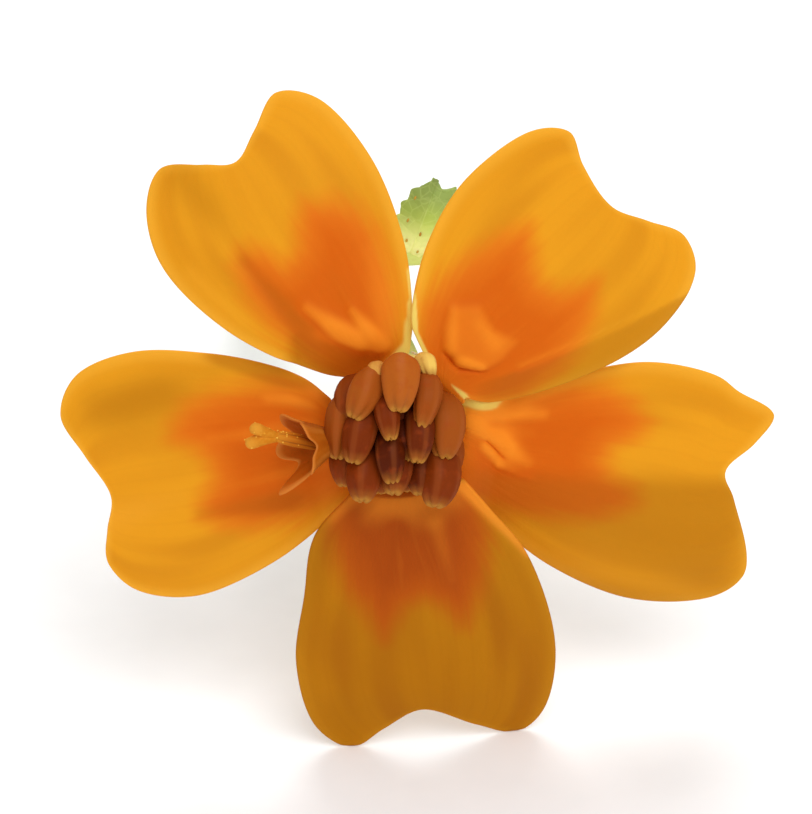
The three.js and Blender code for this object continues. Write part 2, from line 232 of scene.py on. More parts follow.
def turned(name, profile, sides, length=1):
    """A body about +Z, drawn out of a circle at its foot. The profile gives radii in mm, and heights in
    shares of the length."""
    (radius, height), *stations = [(radius, share * length) for radius, share in profile]
    piece = primitive(
        name, bpy.ops.mesh.primitive_circle_add, vertices=sides, radius=radius * MM, fill_type="NGON",
    )
    bpy.ops.object.mode_set(mode="EDIT")
    bpy.ops.mesh.select_all(action="SELECT")
    bpy.ops.transform.translate(value=(0, 0, height * MM))
    for next_radius, next_height in stations:
        rise = (next_height - height) * MM
        bpy.ops.mesh.extrude_region_move(TRANSFORM_OT_translate={"value": (0, 0, rise)})
        bpy.ops.transform.resize(value=(next_radius / radius, next_radius / radius, 1))
        radius, height = next_radius, next_height
    bpy.ops.mesh.select_all(action="SELECT")
    bpy.ops.mesh.normals_make_consistent(inside=False)
    bpy.ops.object.mode_set(mode="OBJECT")
    return piece


def lay(piece, place):
    """Moves each point of a piece by place(x, y, z), in mm."""
    for vertex in piece.data.vertices:
        vertex.co = place(*(vertex.co / MM)) * MM


def bend_along(piece, path, length, reference):
    """Bends a body that stands on +Z, of that length, along a path."""
    def place(x, y, z):
        at, tangent = path.share(z / length)
        side = tangent.cross(reference).normalized()
        return at + side.cross(tangent) * x + side * y
    lay(piece, place)


def around(x, y):
    return math.atan2(y, x)


# Materials. Hex colours are sRGB.
BUMP_STRENGTH = 0.3
CELL_WALL_IOR = 1.42


def linear(colour):
    channels = [int(colour[k:k + 2], 16) / 255 for k in (1, 3, 5)]
    return (*(c / 12.92 if c <= 0.04045 else ((c + 0.055) / 1.055) ** 2.4 for c in channels), 1)


def add_node(tree, kind, inputs=None, **settings):
    """A node with its own settings, and for each input a value or the output it is linked from."""
    node = tree.nodes.new(kind)
    for name, value in settings.items():
        setattr(node, name, value)
    for name, value in (inputs or {}).items():
        if isinstance(value, bpy.types.NodeSocket):
            tree.links.new(value, node.inputs[name])
        else:
            node.inputs[name].default_value = value
    return node


def new_material(name, sockets):
    material = bpy.data.materials.new(name)
    material.use_nodes = True
    tree = material.node_tree
    shader = tree.nodes["Principled BSDF"]
    for socket, value in sockets.items():
        shader.inputs[socket].default_value = value
    return material, tree, shader


def layered(tree, base, layers):
    """A colour with others laid over it. Each goes by a value: its start, where it is full, how strong."""
    for value, start, full, strength, colour in layers:
        mask = add_node(
            tree, "ShaderNodeMapRange", {0: value, 1: start, 2: full, 4: strength},
            interpolation_type="SMOOTHSTEP",
        ).outputs[0]
        under, over = (linear(c) if isinstance(c, str) else c for c in (base, colour))
        base = add_node(tree, "ShaderNodeMix", {0: mask, 6: under, 7: over}, data_type="RGBA").outputs[2]
    return base


def finish_tissue(tree, shader, colour, relief, depth, through):
    """Lays on the colour, and the relief that deep in mm. That share of the light comes through, tinted."""
    bump = add_node(tree, "ShaderNodeBump", {
        "Strength": BUMP_STRENGTH, "Distance": depth * MM, "Height": relief,
    }).outputs[0]
    tree.links.new(colour, shader.inputs["Base Color"])
    tree.links.new(bump, shader.inputs["Normal"])
    glow = add_node(tree, "ShaderNodeBsdfTranslucent", {"Color": colour, "Normal": bump}).outputs[0]
    both = add_node(tree, "ShaderNodeMixShader", {0: through, 1: shader.outputs[0], 2: glow}).outputs[0]
    tree.links.new(both, tree.nodes["Material Output"].inputs["Surface"])


def tissue(
    name, reads, ground, layers, stretch, detail, roughness, specular, depth, through, follows=False, net=0,
):
    """Plant skin. Its layers go by the named values of an attribute and by its grain, which gives the relief:
    noise stretched by so much per metre of the object or, where it follows the piece, per unit of the
    attribute. A net of veins, so many per metre, gives the relief in its place."""
    material, tree, shader = new_material(name, {
        "Roughness": roughness, "IOR": CELL_WALL_IOR, "Specular IOR Level": specular,
    })
    attribute, *names = reads
    reading = add_node(tree, "ShaderNodeAttribute", attribute_name=attribute).outputs["Vector"]
    values = dict(zip(names, add_node(tree, "ShaderNodeSeparateXYZ", {0: reading}).outputs))
    source = reading if follows else add_node(tree, "ShaderNodeTexCoord").outputs["Object"]
    drawn = add_node(tree, "ShaderNodeVectorMath", {0: source, 1: stretch}, operation="MULTIPLY").outputs[0]
    values["grain"] = relief = add_node(
        tree, "ShaderNodeTexNoise", {"Vector": drawn, "Scale": 1, "Detail": detail},
    ).outputs[0]
    if net:
        values["net"] = relief = add_node(
            tree, "ShaderNodeTexVoronoi", {"Vector": source, "Scale": net}, feature="DISTANCE_TO_EDGE",
        ).outputs["Distance"]
    colour = layered(tree, ground, [(values[key], *rest) for key, *rest in layers])
    finish_tissue(tree, shader, colour, relief, depth, through)
    return material


def mottled(name, ground, patches, scale, detail, sockets):
    """A material of one colour with soft patches of another."""
    material, tree, shader = new_material(name, sockets)
    metres = add_node(tree, "ShaderNodeTexCoord").outputs["Object"]
    drift = add_node(
        tree, "ShaderNodeTexNoise", {"Vector": metres, "Scale": scale, "Detail": detail},
    ).outputs[0]
    tree.links.new(layered(tree, ground, [(drift, 0.3, 0.7, 1, patches)]), shader.inputs["Base Color"])
    return material


# Ray tissue: a thin petal with a velvety upper face of tiny cone-shaped cells. They scatter light softly and
# give a faint sheen, and the colour is deep where the red pigment lies over the yellow.
def ray_tissue(name, colours, through):
    material, tree, shader = new_material(name, {
        "Roughness": 0.58, "IOR": CELL_WALL_IOR, "Specular IOR Level": 0.1, "Sheen Weight": 0.02,
        "Sheen Roughness": 0.5, "Sheen Tint": linear("#ffb43c"),
    })
    petal = add_node(tree, "ShaderNodeAttribute", attribute_name="petal").outputs["Vector"]
    side, u, margin = add_node(tree, "ShaderNodeSeparateXYZ", {0: petal}).outputs
    # The attribute holds the depth in the red patch, painted shading and paleness. The painted shading is
    # light and shade painted into the colour: lighter above zero, darker below.
    marking_and_painted_shading = add_node(tree, "ShaderNodeAttribute", attribute_name="marking_and_painted_shading").outputs["Vector"]
    depth, painted_shading, pale = add_node(tree, "ShaderNodeSeparateXYZ", {0: marking_and_painted_shading}).outputs

    # Streaks run lengthwise: fine ones 0.3 to 0.6 mm wide and broad ones about 1.5 mm wide.
    fine, broad = (
        add_node(tree, "ShaderNodeTexNoise", {
            "Vector": add_node(
                tree, "ShaderNodeVectorMath", {0: petal, 1: stretch}, operation="MULTIPLY",
            ).outputs[0],
            "Scale": 1, "Detail": detail,
        }).outputs[0]
        for stretch, detail in (((22, 0.3, 0), 3), ((5, 0.1, 0), 1))
    )
    # There are about 16 veins across the blade.
    turns = add_node(tree, "ShaderNodeMath", {0: side, 1: math.tau * 16}, operation="MULTIPLY").outputs[0]
    veins = add_node(tree, "ShaderNodeMath", {0: turns}, operation="SINE").outputs[0]
    # The edge of the red patch is drawn out along the fine streaks.
    blotch = add_node(
        tree, "ShaderNodeMath", {0: fine, 1: 0.7, 2: depth}, operation="MULTIPLY_ADD",
    ).outputs[0]
    # In the red patch the painted shading lays on the ridge colour as a painted highlight and the fold colour
    # as painted shade.
    red = layered(tree, colours["blotch"], [
        (blotch, 0.45, 1.75, 1, colours["blotch_deep"]),
        (fine, 0.55, 0.8, 0.08, colours["ridge"]),
        (margin, 0.6, 0.02, 0.55, colours["ridge"]),
        (painted_shading, 0, 1, 1, colours["ridge"]),
        (painted_shading, 0, -1, 0.95, colours["blotch_painted_shade"]),
    ])
    # On the rest of the blade the painted shading lays on a painted highlight and painted shade in the same
    # way.
    colour = layered(tree, colours["blade"], [
        (broad, 0.42, 0.66, 1, colours["band"]),
        (veins, 0.55, 1, 0.12, colours["band"]),
        (margin, 0.6, 0.02, 0.7, colours["rim"]),
        (painted_shading, 0, 1, 0.9, colours["painted_highlight"]),
        (painted_shading, 0, -1, 0.9, colours["fold"]),
        (blotch, -0.35, 0.95, 1, red),
        (u, 2.1, 1.75, 1, colours["claw"]),
        (pale, 0, 1, 1, colours["pale"]),
    ])

    # Cone cells are about 0.03 mm wide, too fine to show, so they are drawn 0.1 mm wide.
    metres = add_node(tree, "ShaderNodeTexCoord").outputs["Object"]
    relief = add_node(tree, "ShaderNodeTexNoise", {"Vector": metres, "Scale": 10000, "Detail": 2}).outputs[0]
    for value, height in ((fine, 3.5), (veins, 0.35)):
        relief = add_node(
            tree, "ShaderNodeMath", {0: value, 1: height, 2: relief}, operation="MULTIPLY_ADD",
        ).outputs[0]
    finish_tissue(tree, shader, colour, relief, 0.02, through)
    return material


# Colours on a lit upper face, on a shaded upper face and on the lower face. The shaded upper face is painted
# shade: the petal's colours made darker for the bottom ray, which lies in shade. The colours for raised
# places are painted highlights and those for folds painted shade; the ridge colour is a painted highlight in
# the red patch and also lightens its fine streaks and margin.
RAY_COLOURS = dict(
    blade=("#f0a91f", "#be7a09", "#e4a83c"),
    band=("#e39a1a", "#b26c08", "#da9c30"),
    rim=("#fbbd38", "#c98712", "#efb548"),
    painted_highlight=("#f8b433", "#ee962a", "#efb548"),
    fold=("#cf8912", "#ad6a06", "#c98a2a"),
    blotch=("#ea7d18", "#bc580c", "#de9436"),
    blotch_deep=("#e16c0e", "#ad4b0a", "#d4842c"),
    ridge=("#fe9826", "#f48f26", "#e59f42"),
    blotch_painted_shade=("#d16b10", "#983e05", "#bf782a"),
    claw=("#ecc84c", "#c9801c", "#d5c25a"),
    pale=("#fbe473", "#f0cf60", "#ead978"),
)
lit_ray, shaded_ray, ray_back = (
    ray_tissue(name, {place: shades[k] for place, shades in RAY_COLOURS.items()}, through)
    for k, (name, through) in enumerate((
        ("ray_tissue_upper_face", 0.3),
        ("ray_tissue_upper_face_shaded", 0.2),
        ("ray_tissue_lower_face", 0.3),
    ))
)


# Ray florets. In each ray u runs out from the middle of the head, v across to the left, w out of the face.
CLAW_RADIUS = 1.97
CLAW_DEPTH = -0.85
CLAW_ROWS = 8
NECK_U = 2.35
CREST_U = 3.7
FALL_START_U = 3
FALL_POWER = 1.8
FOLD_SPAN = (2, 5)
PLEAT_HEIGHT = 0.09
PLEAT_SPACING = 0.95
PLEAT_WIDTH = 0.35
PLEAT_START_SPAN = (2.6, 4)
PLEAT_END_SPAN = (4.2, 7)
RIDGE_TAPER = 0.4
RIDGE_FADE_SPAN = (0.3, 1)
BEND_START_SPAN = (-0.25, 0.05)
BEND_END_SPAN = (1.0, 1.3)
BEND_ROUNDING = 0.12
PALE_CORE = 0.4
SWELL_HEIGHT = 0.12
SWELL_SCALE = 0.35
SWELL_SPAN = (3, 6)
RAY_THICKNESS = 0.22
RAY_ACROSS = 56
RAY_ALONG = 72
EDGE_STEPS = 40

# turn: direction in the face, in degrees from +X. base, crest and tip: heights of the blade at its neck, just
# outside it and at its far end. fold: how fast the sides fall away. Sides go from the ear at the neck to the
# tip of a lobe. blotch: outline of the red patch. ridges: start, end, width, height and painted tone of
# raised (+) or sunk (-) lines. bends: start, end, slope, painted tone and softness of the part that falls
# away to the
# left of that line. pads: outline, height, painted tone and softness of swollen places. The painted tone is
# painted light and shade: above zero the blade is painted lighter, as where it catches the light, and below
# zero darker, as in its folds and where it lies in shade. pale: start, end, width and strength of strips that
# have less red.
RAYS = {
    "ray_floret_upper_left": dict(
        turn=121, reach=11.7, base=0.5, crest=0.55, tip=-1.7, fold=0.03,
        left=[(2.6, 0.6), (3.3, 1.3), (6.3, 3.22), (9.3, 3.93), (11.2, 3.25), (12.0, 2.1)],
        tip_edge=[(11.4, 0.8), (10.9, -0.2), (11.4, -1.3)],
        right=[
            (2.28, -1.6), (2.72, -1.97), (3.1, -2.26), (5.4, -3.5), (8.5, -4.2), (11.1, -3.75),
            (12.0, -2.6),
        ],
        blotch=[
            (2.0, 0.8), (4.4, 1.5), (5.8, 1.9), (7.0, 2.0), (8.0, 1.7), (8.4, 1.1), (8.0, 0.6),
            (7.3, 0.3), (7.5, -0.3), (8.2, -0.9), (8.5, -1.5), (8.1, -2.3), (7.4, -2.8), (6.5, -3.0),
            (5.2, -2.7), (3.8, -2.1), (3.0, -1.5), (2.0, -0.9),
        ],
        ridges=[
            ((3.6, -0.4), (5.6, 0.5), 0.42, 0.2, 1.1), ((3.1, -0.9), (4.7, -0.8), 0.3, 0.16, 1.0),
            ((3.4, -1.5), (6.0, -2.4), 0.6, 0.04, 0.45), ((5.0, 1.0), (8.0, 1.4), 0.5, -0.14, -0.9),
            ((5.2, -0.75), (6.6, -1.0), 0.5, -0.06, -0.25), ((11.3, 1.6), (8.6, 1.3), 0.9, -0.05, -0.6),
            ((8.6, 3.2), (5.0, 2.2), 0.35, 0.05, 0.3),
        ],
        bends=[((3.0, -0.9), (4.8, 1.1), 0.35, -0.7, 0.2)],
        pale=[
            ((2.2, -1.0), (2.4, -1.7), 0.5, 1), ((2.4, -1.75), (3.1, -2.25), 0.42, 1),
            ((3.1, -2.25), (3.7, -2.65), 0.28, 1), ((3.7, -2.65), (4.7, -3.2), 0.16, 1),
        ],
    ),
    "ray_floret_upper_right": dict(
        turn=44, reach=11.3, base=0.95, crest=0.95, tip=-1.1, fold=0.015,
        left=[
            (2.3, 1.2), (2.7, 2.25), (2.93, 2.71), (5.15, 4.12), (7.8, 4.65), (10.5, 3.9), (11.35, 2.8),
        ],
        tip_edge=[(10.85, 1.7), (10.5, 0), (11.0, -1.4)],
        right=[(2.3, -0.55), (2.75, -1.35), (5.1, -3.1), (8.6, -4.45), (10.9, -4.05), (11.5, -2.8)],
        blotch=[
            (1.8, 1.4), (2.7, 2.2), (3.6, 2.9), (4.8, 3.0), (6.0, 2.8), (7.1, 2.5), (8.0, 1.9),
            (7.7, 1.3), (7.2, 0.7), (7.0, 0.2), (7.2, -0.4), (7.7, -0.9), (8.2, -1.3), (7.8, -1.7),
            (7.4, -2.0), (6.5, -2.3), (5.3, -2.5), (3.6, -2.1), (2.4, -1.2), (1.8, -0.9),
        ],
        ridges=[
            ((3.2, 1.1), (4.3, 2.0), 0.24, 0.07, 0.3), ((3.1, 0.5), (3.5, -0.15), 0.22, 0.06, 0.9),
            ((4.4, 0.1), (4.5, 1.0), 0.3, 0.04, 0.25), ((2.9, -1.0), (4.4, -1.7), 0.5, 0, -0.4),
            ((2.93, 0.6), (3.0, 1.15), 0.12, -0.2, -0.7), ((2.95, 0.35), (3.4, -0.35), 0.12, -0.24, -0.8),
            ((4.4, -1.25), (10.2, -4.25), 0.2, 0.05, 0.5),
        ],
        bends=[((10.3, -4.3), (4.2, -1.15), 0.25, -0.7, 0.12)],
        pads=[(
            [
                (4.3, 2.1), (3.6, 1.7), (3.1, 1.2), (2.97, 0.6), (3.05, 0), (3.4, -0.3), (4.1, -0.5),
                (5.0, -0.5), (4.7, 0.4), (5.0, 1.4),
            ],
            0.16, 0.45, 0.22,
        )],
        pale=[
            ((2.3, 1.15), (2.7, 2.25), 0.2, 1), ((2.7, 2.3), (3.65, 3.35), 0.16, 1),
            ((2.2, 0.1), (2.3, -0.5), 0.22, 0.9),
        ],
    ),
    "ray_floret_left": dict(
        turn=192.5, reach=11.3, base=0.28, crest=-0.05, tip=-1.6, fold=0.03,
        left=[(2.0, 1.8), (3.1, 2.55), (5.4, 3.8), (8.6, 4.65), (10.6, 3.9), (11.25, 2.6)],
        tip_edge=[(10.95, 1.35), (10.5, 0.1), (11.0, -1.5)],
        right=[(2.2, -1.7), (2.9, -2.6), (5.4, -3.95), (8.4, -4.75), (10.6, -4.3), (11.45, -3.0)],
        blotch=[
            (1.6, -1.7), (2.6, -2.4), (3.9, -2.7), (4.9, -2.8), (6.1, -2.8), (7.1, -2.6), (7.8, -2.0),
            (7.8, -1.5), (7.2, -1.0), (6.9, -0.4), (6.9, 0.2), (7.4, 0.8), (7.6, 1.4), (7.0, 2.0),
            (6.0, 2.3), (4.4, 2.4), (3.2, 2.0), (1.6, 1.5),
        ],
        ridges=[
            ((4.6, 1.6), (7.6, 1.4), 0.55, -0.05, -0.8), ((3.6, 1.7), (5.0, 1.6), 0.5, -0.03, -0.4),
            ((3.0, -0.9), (6.6, -1.3), 0.4, 0.06, 0.5), ((3.0, 0.5), (6.4, 0.6), 0.35, 0.06, 0.35),
            ((2.9, -1.9), (4.3, -2.2), 0.4, 0.08, 0.9), ((8.0, -2.7), (11.2, -2.6), 1.1, -0.05, -0.45),
            ((10.6, 0.9), (8.2, 0.6), 0.8, 0.04, 0.4), ((10.0, -3.3), (6.0, -3.4), 0.9, 0, -0.45),
        ],
        bends=[((5.8, -3.75), (2.3, -1.45), 0.3, -0.9, 0.2)],
    ),
    "ray_floret_right": dict(
        turn=-12, reach=13.2, base=0.28, crest=-0.3, tip=-0.9, fold=0.045,
        left=[
            (1.52, 1.58), (2.3, 1.5), (3.34, 1.56), (5.9, 2.6), (8.5, 3.3), (11.1, 3.1), (11.9, 2.68),
            (13.4, 2.0),
        ],
        tip_edge=[(12.9, 0.9), (12.0, -0.25), (12.6, -1.3)],
        right=[(2.0, -1.9), (3.2, -2.78), (6.6, -4.92), (10.0, -6.05), (13.05, -5.6), (13.85, -4.25)],
        blotch=[
            (1.8, 1.3), (3.1, 1.4), (4.4, 1.8), (5.8, 2.2), (7.1, 2.2), (8.1, 1.9), (8.8, 1.1),
            (8.3, 0.6), (7.7, 0.2), (7.5, -0.3), (7.9, -0.8), (8.8, -1.2), (9.1, -1.8), (8.5, -2.2),
            (7.6, -2.6), (6.2, -2.8), (4.6, -2.8), (3.0, -2.5), (1.6, -1.8),
        ],
        ridges=[
            ((2.7, 1.0), (4.9, 1.05), 0.4, 0.06, 0.9), ((2.3, 0.6), (3.2, 0), 0.3, 0.1, 0.8),
            ((3.2, 0), (3.9, -0.3), 0.3, 0.08, 0.6), ((3.6, -0.2), (4.7, -0.85), 0.5, 0.1, 0.85),
            ((2.95, -0.3), (3.7, -0.98), 0.2, 0.1, 0.6), ((3.7, -0.98), (4.9, -1.3), 0.24, 0.05, 0.5),
            ((3.0, -0.1), (3.75, -0.72), 0.1, -0.15, -0.9), ((2.6, 0.4), (4.6, 0.3), 0.5, 0.02, 0.35),
            ((3.5, 1.3), (6.6, 2.7), 0.45, 0, 0.9), ((2.0, 1.35), (3.4, 1.2), 0.4, 0, 1.1),
            ((2.2, 1.5), (3.0, 1.45), 0.42, 0.45, 0), ((2.1, -1.0), (3.6, -1.7), 0.5, -0.03, -0.3),
            ((5.0, -4.0), (12.6, -5.6), 1.1, 0.05, 0.6),
        ],
        bends=[((12.4, -0.5), (3.8, -1.3), 0.06, -0.9, 0.7)],
        pale=[((1.5, 1.55), (2.3, 1.45), 0.35, 0.9), ((2.3, 1.45), (2.9, 1.4), 0.4, 0.8)],
    ),
    "ray_floret_bottom": dict(
        turn=-86, reach=12.9, base=1.0, crest=1.0, tip=-1.2, fold=0.02,
        left=[(1.8, 1.78), (3.1, 2.66), (5.2, 3.93), (9.3, 4.8), (12.0, 4.2), (12.7, 3.2)],
        tip_edge=[(12.0, 1.7), (10.9, -0.25), (11.6, -1.6)],
        right=[(1.85, -2.1), (3.3, -3.55), (5.6, -4.1), (8.4, -4.6), (11.3, -4.05), (12.33, -2.8)],
        blotch=[
            (2.2, -3.1), (3.2, -3.1), (4.4, -2.9), (5.5, -2.6), (6.3, -2.1), (7.1, -1.7), (7.6, -1.4),
            (7.0, -1.0), (6.4, -0.6), (6.2, 0.1), (6.6, 0.7), (7.1, 1.1), (7.6, 1.4), (6.9, 1.8),
            (6.2, 2.1), (5.2, 2.4), (4.0, 2.6), (2.8, 2.4), (1.6, 2.0), (1.6, -2.6),
        ],
        ridges=[
            ((1.7, 1.75), (5.1, 3.95), 0.32, 0.06, 1.5), ((3.4, 0.7), (5.6, 1.1), 0.35, 0.06, 0.3),
            ((3.4, -0.7), (5.6, -1.1), 0.4, -0.05, -0.3), ((10.8, -3.0), (9.6, -2.8), 1.5, -0.05, -0.35),
            ((11.2, 2.7), (10.2, 2.6), 1.3, -0.05, -0.1), ((3.2, -3.3), (7.5, -4.4), 0.7, 0, -0.6),
        ],
        pads=[(
            [(1.0, -1.9), (2.9, -1.7), (3.3, 0), (2.8, 1.6), (1.0, 1.8)],
            0, 0.65, 0.9,
        )],
    ),
}


def segment_reading(point, start, end):
    """Distance from a line piece, share along it, and how far the point lies to the left of its direction."""
    run = end - start
    raw = (point - start).dot(run) / run.length_squared
    leftwards = Vector((-run.y, run.x)).normalized()
    return (point - start - run * clamp(raw)).length, raw, (point - start).dot(leftwards)


def depth_in_outline(point, outline):
    """Distance from a closed outline: above zero inside it and below zero outside."""
    nearest, inside = math.inf, False
    for a, b in zip(outline, outline[1:] + outline[:1]):
        nearest = min(nearest, segment_reading(point, a, b)[0])
        if (a.y > point.y) != (b.y > point.y):
            inside ^= point.x < mix(a.x, b.x, (point.y - a.y) / (b.y - a.y))
    return nearest if inside else -nearest


def ray_reading(ray, u, v):
    """Height of the blade at u, v, its painted shading (above zero painted lighter, as where it catches the
    light, below zero painted darker, as in folds and shade) and how pale it is.
    """
    point = Vector((u, v))
    rise = mix(ray["base"], ray["crest"], smooth(u, NECK_U, CREST_U))
    along = max(0, (u - FALL_START_U) / (ray["reach"] - FALL_START_U))
    height = rise - (ray["crest"] - ray["tip"]) * along**FALL_POWER
    height -= ray["fold"] * v * v * smooth(u, *FOLD_SPAN)
    height += (
        PLEAT_HEIGHT * smooth(u, *PLEAT_START_SPAN) * (1 - smooth(u, *PLEAT_END_SPAN))
        * bell(abs(v) - PLEAT_SPACING, PLEAT_WIDTH)
    )
    painted_shading = 0
    for start, end, width, rise, painted_tone in ray["ridges"]:
        distance, share, _ = segment_reading(point, Vector(start), Vector(end))
        share = clamp(share)
        fade = 1 - RIDGE_TAPER * smooth(share, *RIDGE_FADE_SPAN)
        strength = bell(distance, width * (1 - RIDGE_TAPER * share)) * fade
        height += rise * strength
        painted_shading += painted_tone * strength
    for start, end, slope, painted_tone, soft in ray.get("bends", ()):
        _, share, beyond = segment_reading(point, Vector(start), Vector(end))
        window = smooth(share, *BEND_START_SPAN) * (1 - smooth(share, *BEND_END_SPAN))
        height -= slope * window * (math.hypot(beyond, BEND_ROUNDING) + beyond) / 2
        painted_shading += painted_tone * window * smooth(beyond, -soft, soft)
    for outline, rise, painted_tone, soft in ray.get("pads", ()):
        strength = smooth(depth_in_outline(point, [Vector(p) for p in outline]), -soft, soft)
        height += rise * strength
        painted_shading += painted_tone * strength
    pale = 0
    for start, end, width, strength in ray.get("pale", ()):
        distance = segment_reading(point, Vector(start), Vector(end))[0]
        pale = max(pale, strength * (1 - smooth(distance, PALE_CORE * width, width)))
    swell = noise.noise(Vector((u * SWELL_SCALE, v * SWELL_SCALE, ray["turn"])))
    return height + SWELL_HEIGHT * swell * smooth(u, *SWELL_SPAN), painted_shading, pale


def ray_floret(name, ray, upper_face):
    turn = math.radians(ray["turn"])
    outwards = Vector((math.cos(turn), math.sin(turn)))
    leftwards = Vector((-math.sin(turn), math.cos(turn)))
    left, tip_edge, right = ([Vector(p) for p in ray[k]] for k in ("left", "tip_edge", "right"))
    blotch = [Vector(p) for p in ray["blotch"]]
    edge = Path(smooth_line([*left, *tip_edge, *reversed(right)], EDGE_STEPS))
    last_left = (len(left) - 1) * EDGE_STEPS
    first_right = (len(left) + len(tip_edge)) * EDGE_STEPS

    def along_edge(first, last, share):
        return edge.at(mix(edge.lengths[first], edge.lengths[last], share))[0]

    def sides(t):
        return along_edge(0, last_left, t), along_edge(-1, first_right, t)

    def flat(s, t):
        """Coons patch between the sides, the neck and the tip edge, with s from the left to the right."""
        neck = left[0].lerp(right[0], s)
        bulge = Vector((4 * s * (1 - s) * (NECK_U - (left[0].x + right[0].x) / 2), 0))
        far = left[-1].lerp(right[-1], s)
        on_left, on_right = sides(t)
        tip = along_edge(last_left, first_right, s)
        return on_left.lerp(on_right, s) + (neck + bulge).lerp(tip, t) - neck.lerp(far, t)

    # The claw from its foot up: how far out, how high, and how far to each side.
    claw = [
        (CLAW_RADIUS, CLAW_DEPTH, 0.42), (CLAW_RADIUS, ray["base"] - 0.5, 0.46),
        (CLAW_RADIUS + 0.07, ray["base"] - 0.2, 0.58), (CLAW_RADIUS + 0.2, ray["base"] - 0.05, 0.74),
    ]

    def on_claw(k, s):
        """A point of the claw. Beyond its last step it is at the neck of the blade."""
        if k < len(claw):
            u, w, half = claw[k]
            return Vector((u, half * (1 - 2 * s), w))
        u, v = flat(s, 0)
        return Vector((u, v, ray_reading(ray, u, v)[0]))

    petal, marking_and_painted_shading = [], []

    def place(s, t):
        row = t * RAY_ALONG
        blade_t = (row - CLAW_ROWS) / (RAY_ALONG - CLAW_ROWS)
        if row < CLAW_ROWS - 0.5:
            step = row / CLAW_ROWS * len(claw)
            k = int(step)
            spot = on_claw(k, s).lerp(on_claw(k + 1, s), step - k)
            painted_shading = pale = 0
        else:
            u, v = flat(s, blade_t)
            height, painted_shading, pale = ray_reading(ray, u, v)
            spot = Vector((u, v, height))
        on_left, on_right = sides(max(0, blade_t))
        from_side = min(s, 1 - s) * (on_left - on_right).length
        from_tip = (1 - max(0, blade_t)) * (ray["reach"] - NECK_U)
        petal.append((s, spot.x, min(from_side, from_tip)))
        marking_and_painted_shading.append((depth_in_outline(spot.xy, blotch), painted_shading, pale))
        across = outwards * spot.x + leftwards * spot.y
        world = on_head(across.x, across.y, spot.z)
        world.z = max(world.z, RAY_THICKNESS / 2)
        return world

    piece = sheet(name + "_blade", RAY_ACROSS, RAY_ALONG, place)
    write_attribute(piece, "petal", petal)
    write_attribute(piece, "marking_and_painted_shading", marking_and_painted_shading)
    piece.data.materials.append(upper_face)
    piece.data.materials.append(ray_back)
    apply_modifier(piece, "SOLIDIFY", thickness=RAY_THICKNESS * MM, offset=0, material_offset=1)
    round_off(piece)
    return piece


# Bud tissue: closed disc corollas, waxy and a little glossy. Red-brown pigment lies over orange, the five
# valve tips dry to tan, and the foot stays yellow. Patches of pigment are about 0.4 mm wide. Each bud's
# painted tone lays painted shade or painted light over it: dark red-brown in shade, lighter orange to yellow
# where lit.
bud_tissue = tissue(
    "disc_corolla_tissue", ("bud", "along", "valve", "painted_tone"), "#7d2f06", [
        # Painted light and shade, laid by each bud's painted tone.
        ("painted_tone", 0.3, 0.75, 1, "#c0651d"),
        ("painted_tone", 0.78, 1, 1, "#f2c860"),
        ("painted_tone", 0.3, 0, 1, "#521a04"),
        ("grain", 0.48, 0.75, 0.35, "#a84414"),
        ("valve", 0.75, 1, 0.14, "#c06a34"),
        ("valve", 0.25, 0, 0.6, "#4c1a06"),
        ("along", 0.5, 0.25, 0.8, "#c4701a"),
        ("along", 0.2, 0.05, 1, "#e2b83c"),
        ("along", 0.86, 0.96, 0.6, "#a65f22"),
        ("along", 0.94, 1, 0.75, "#cc9038"),
    ],
    stretch=(2500, 2500, 2500), detail=3, roughness=0.5, specular=0.09, depth=0.05, through=0.12,
)


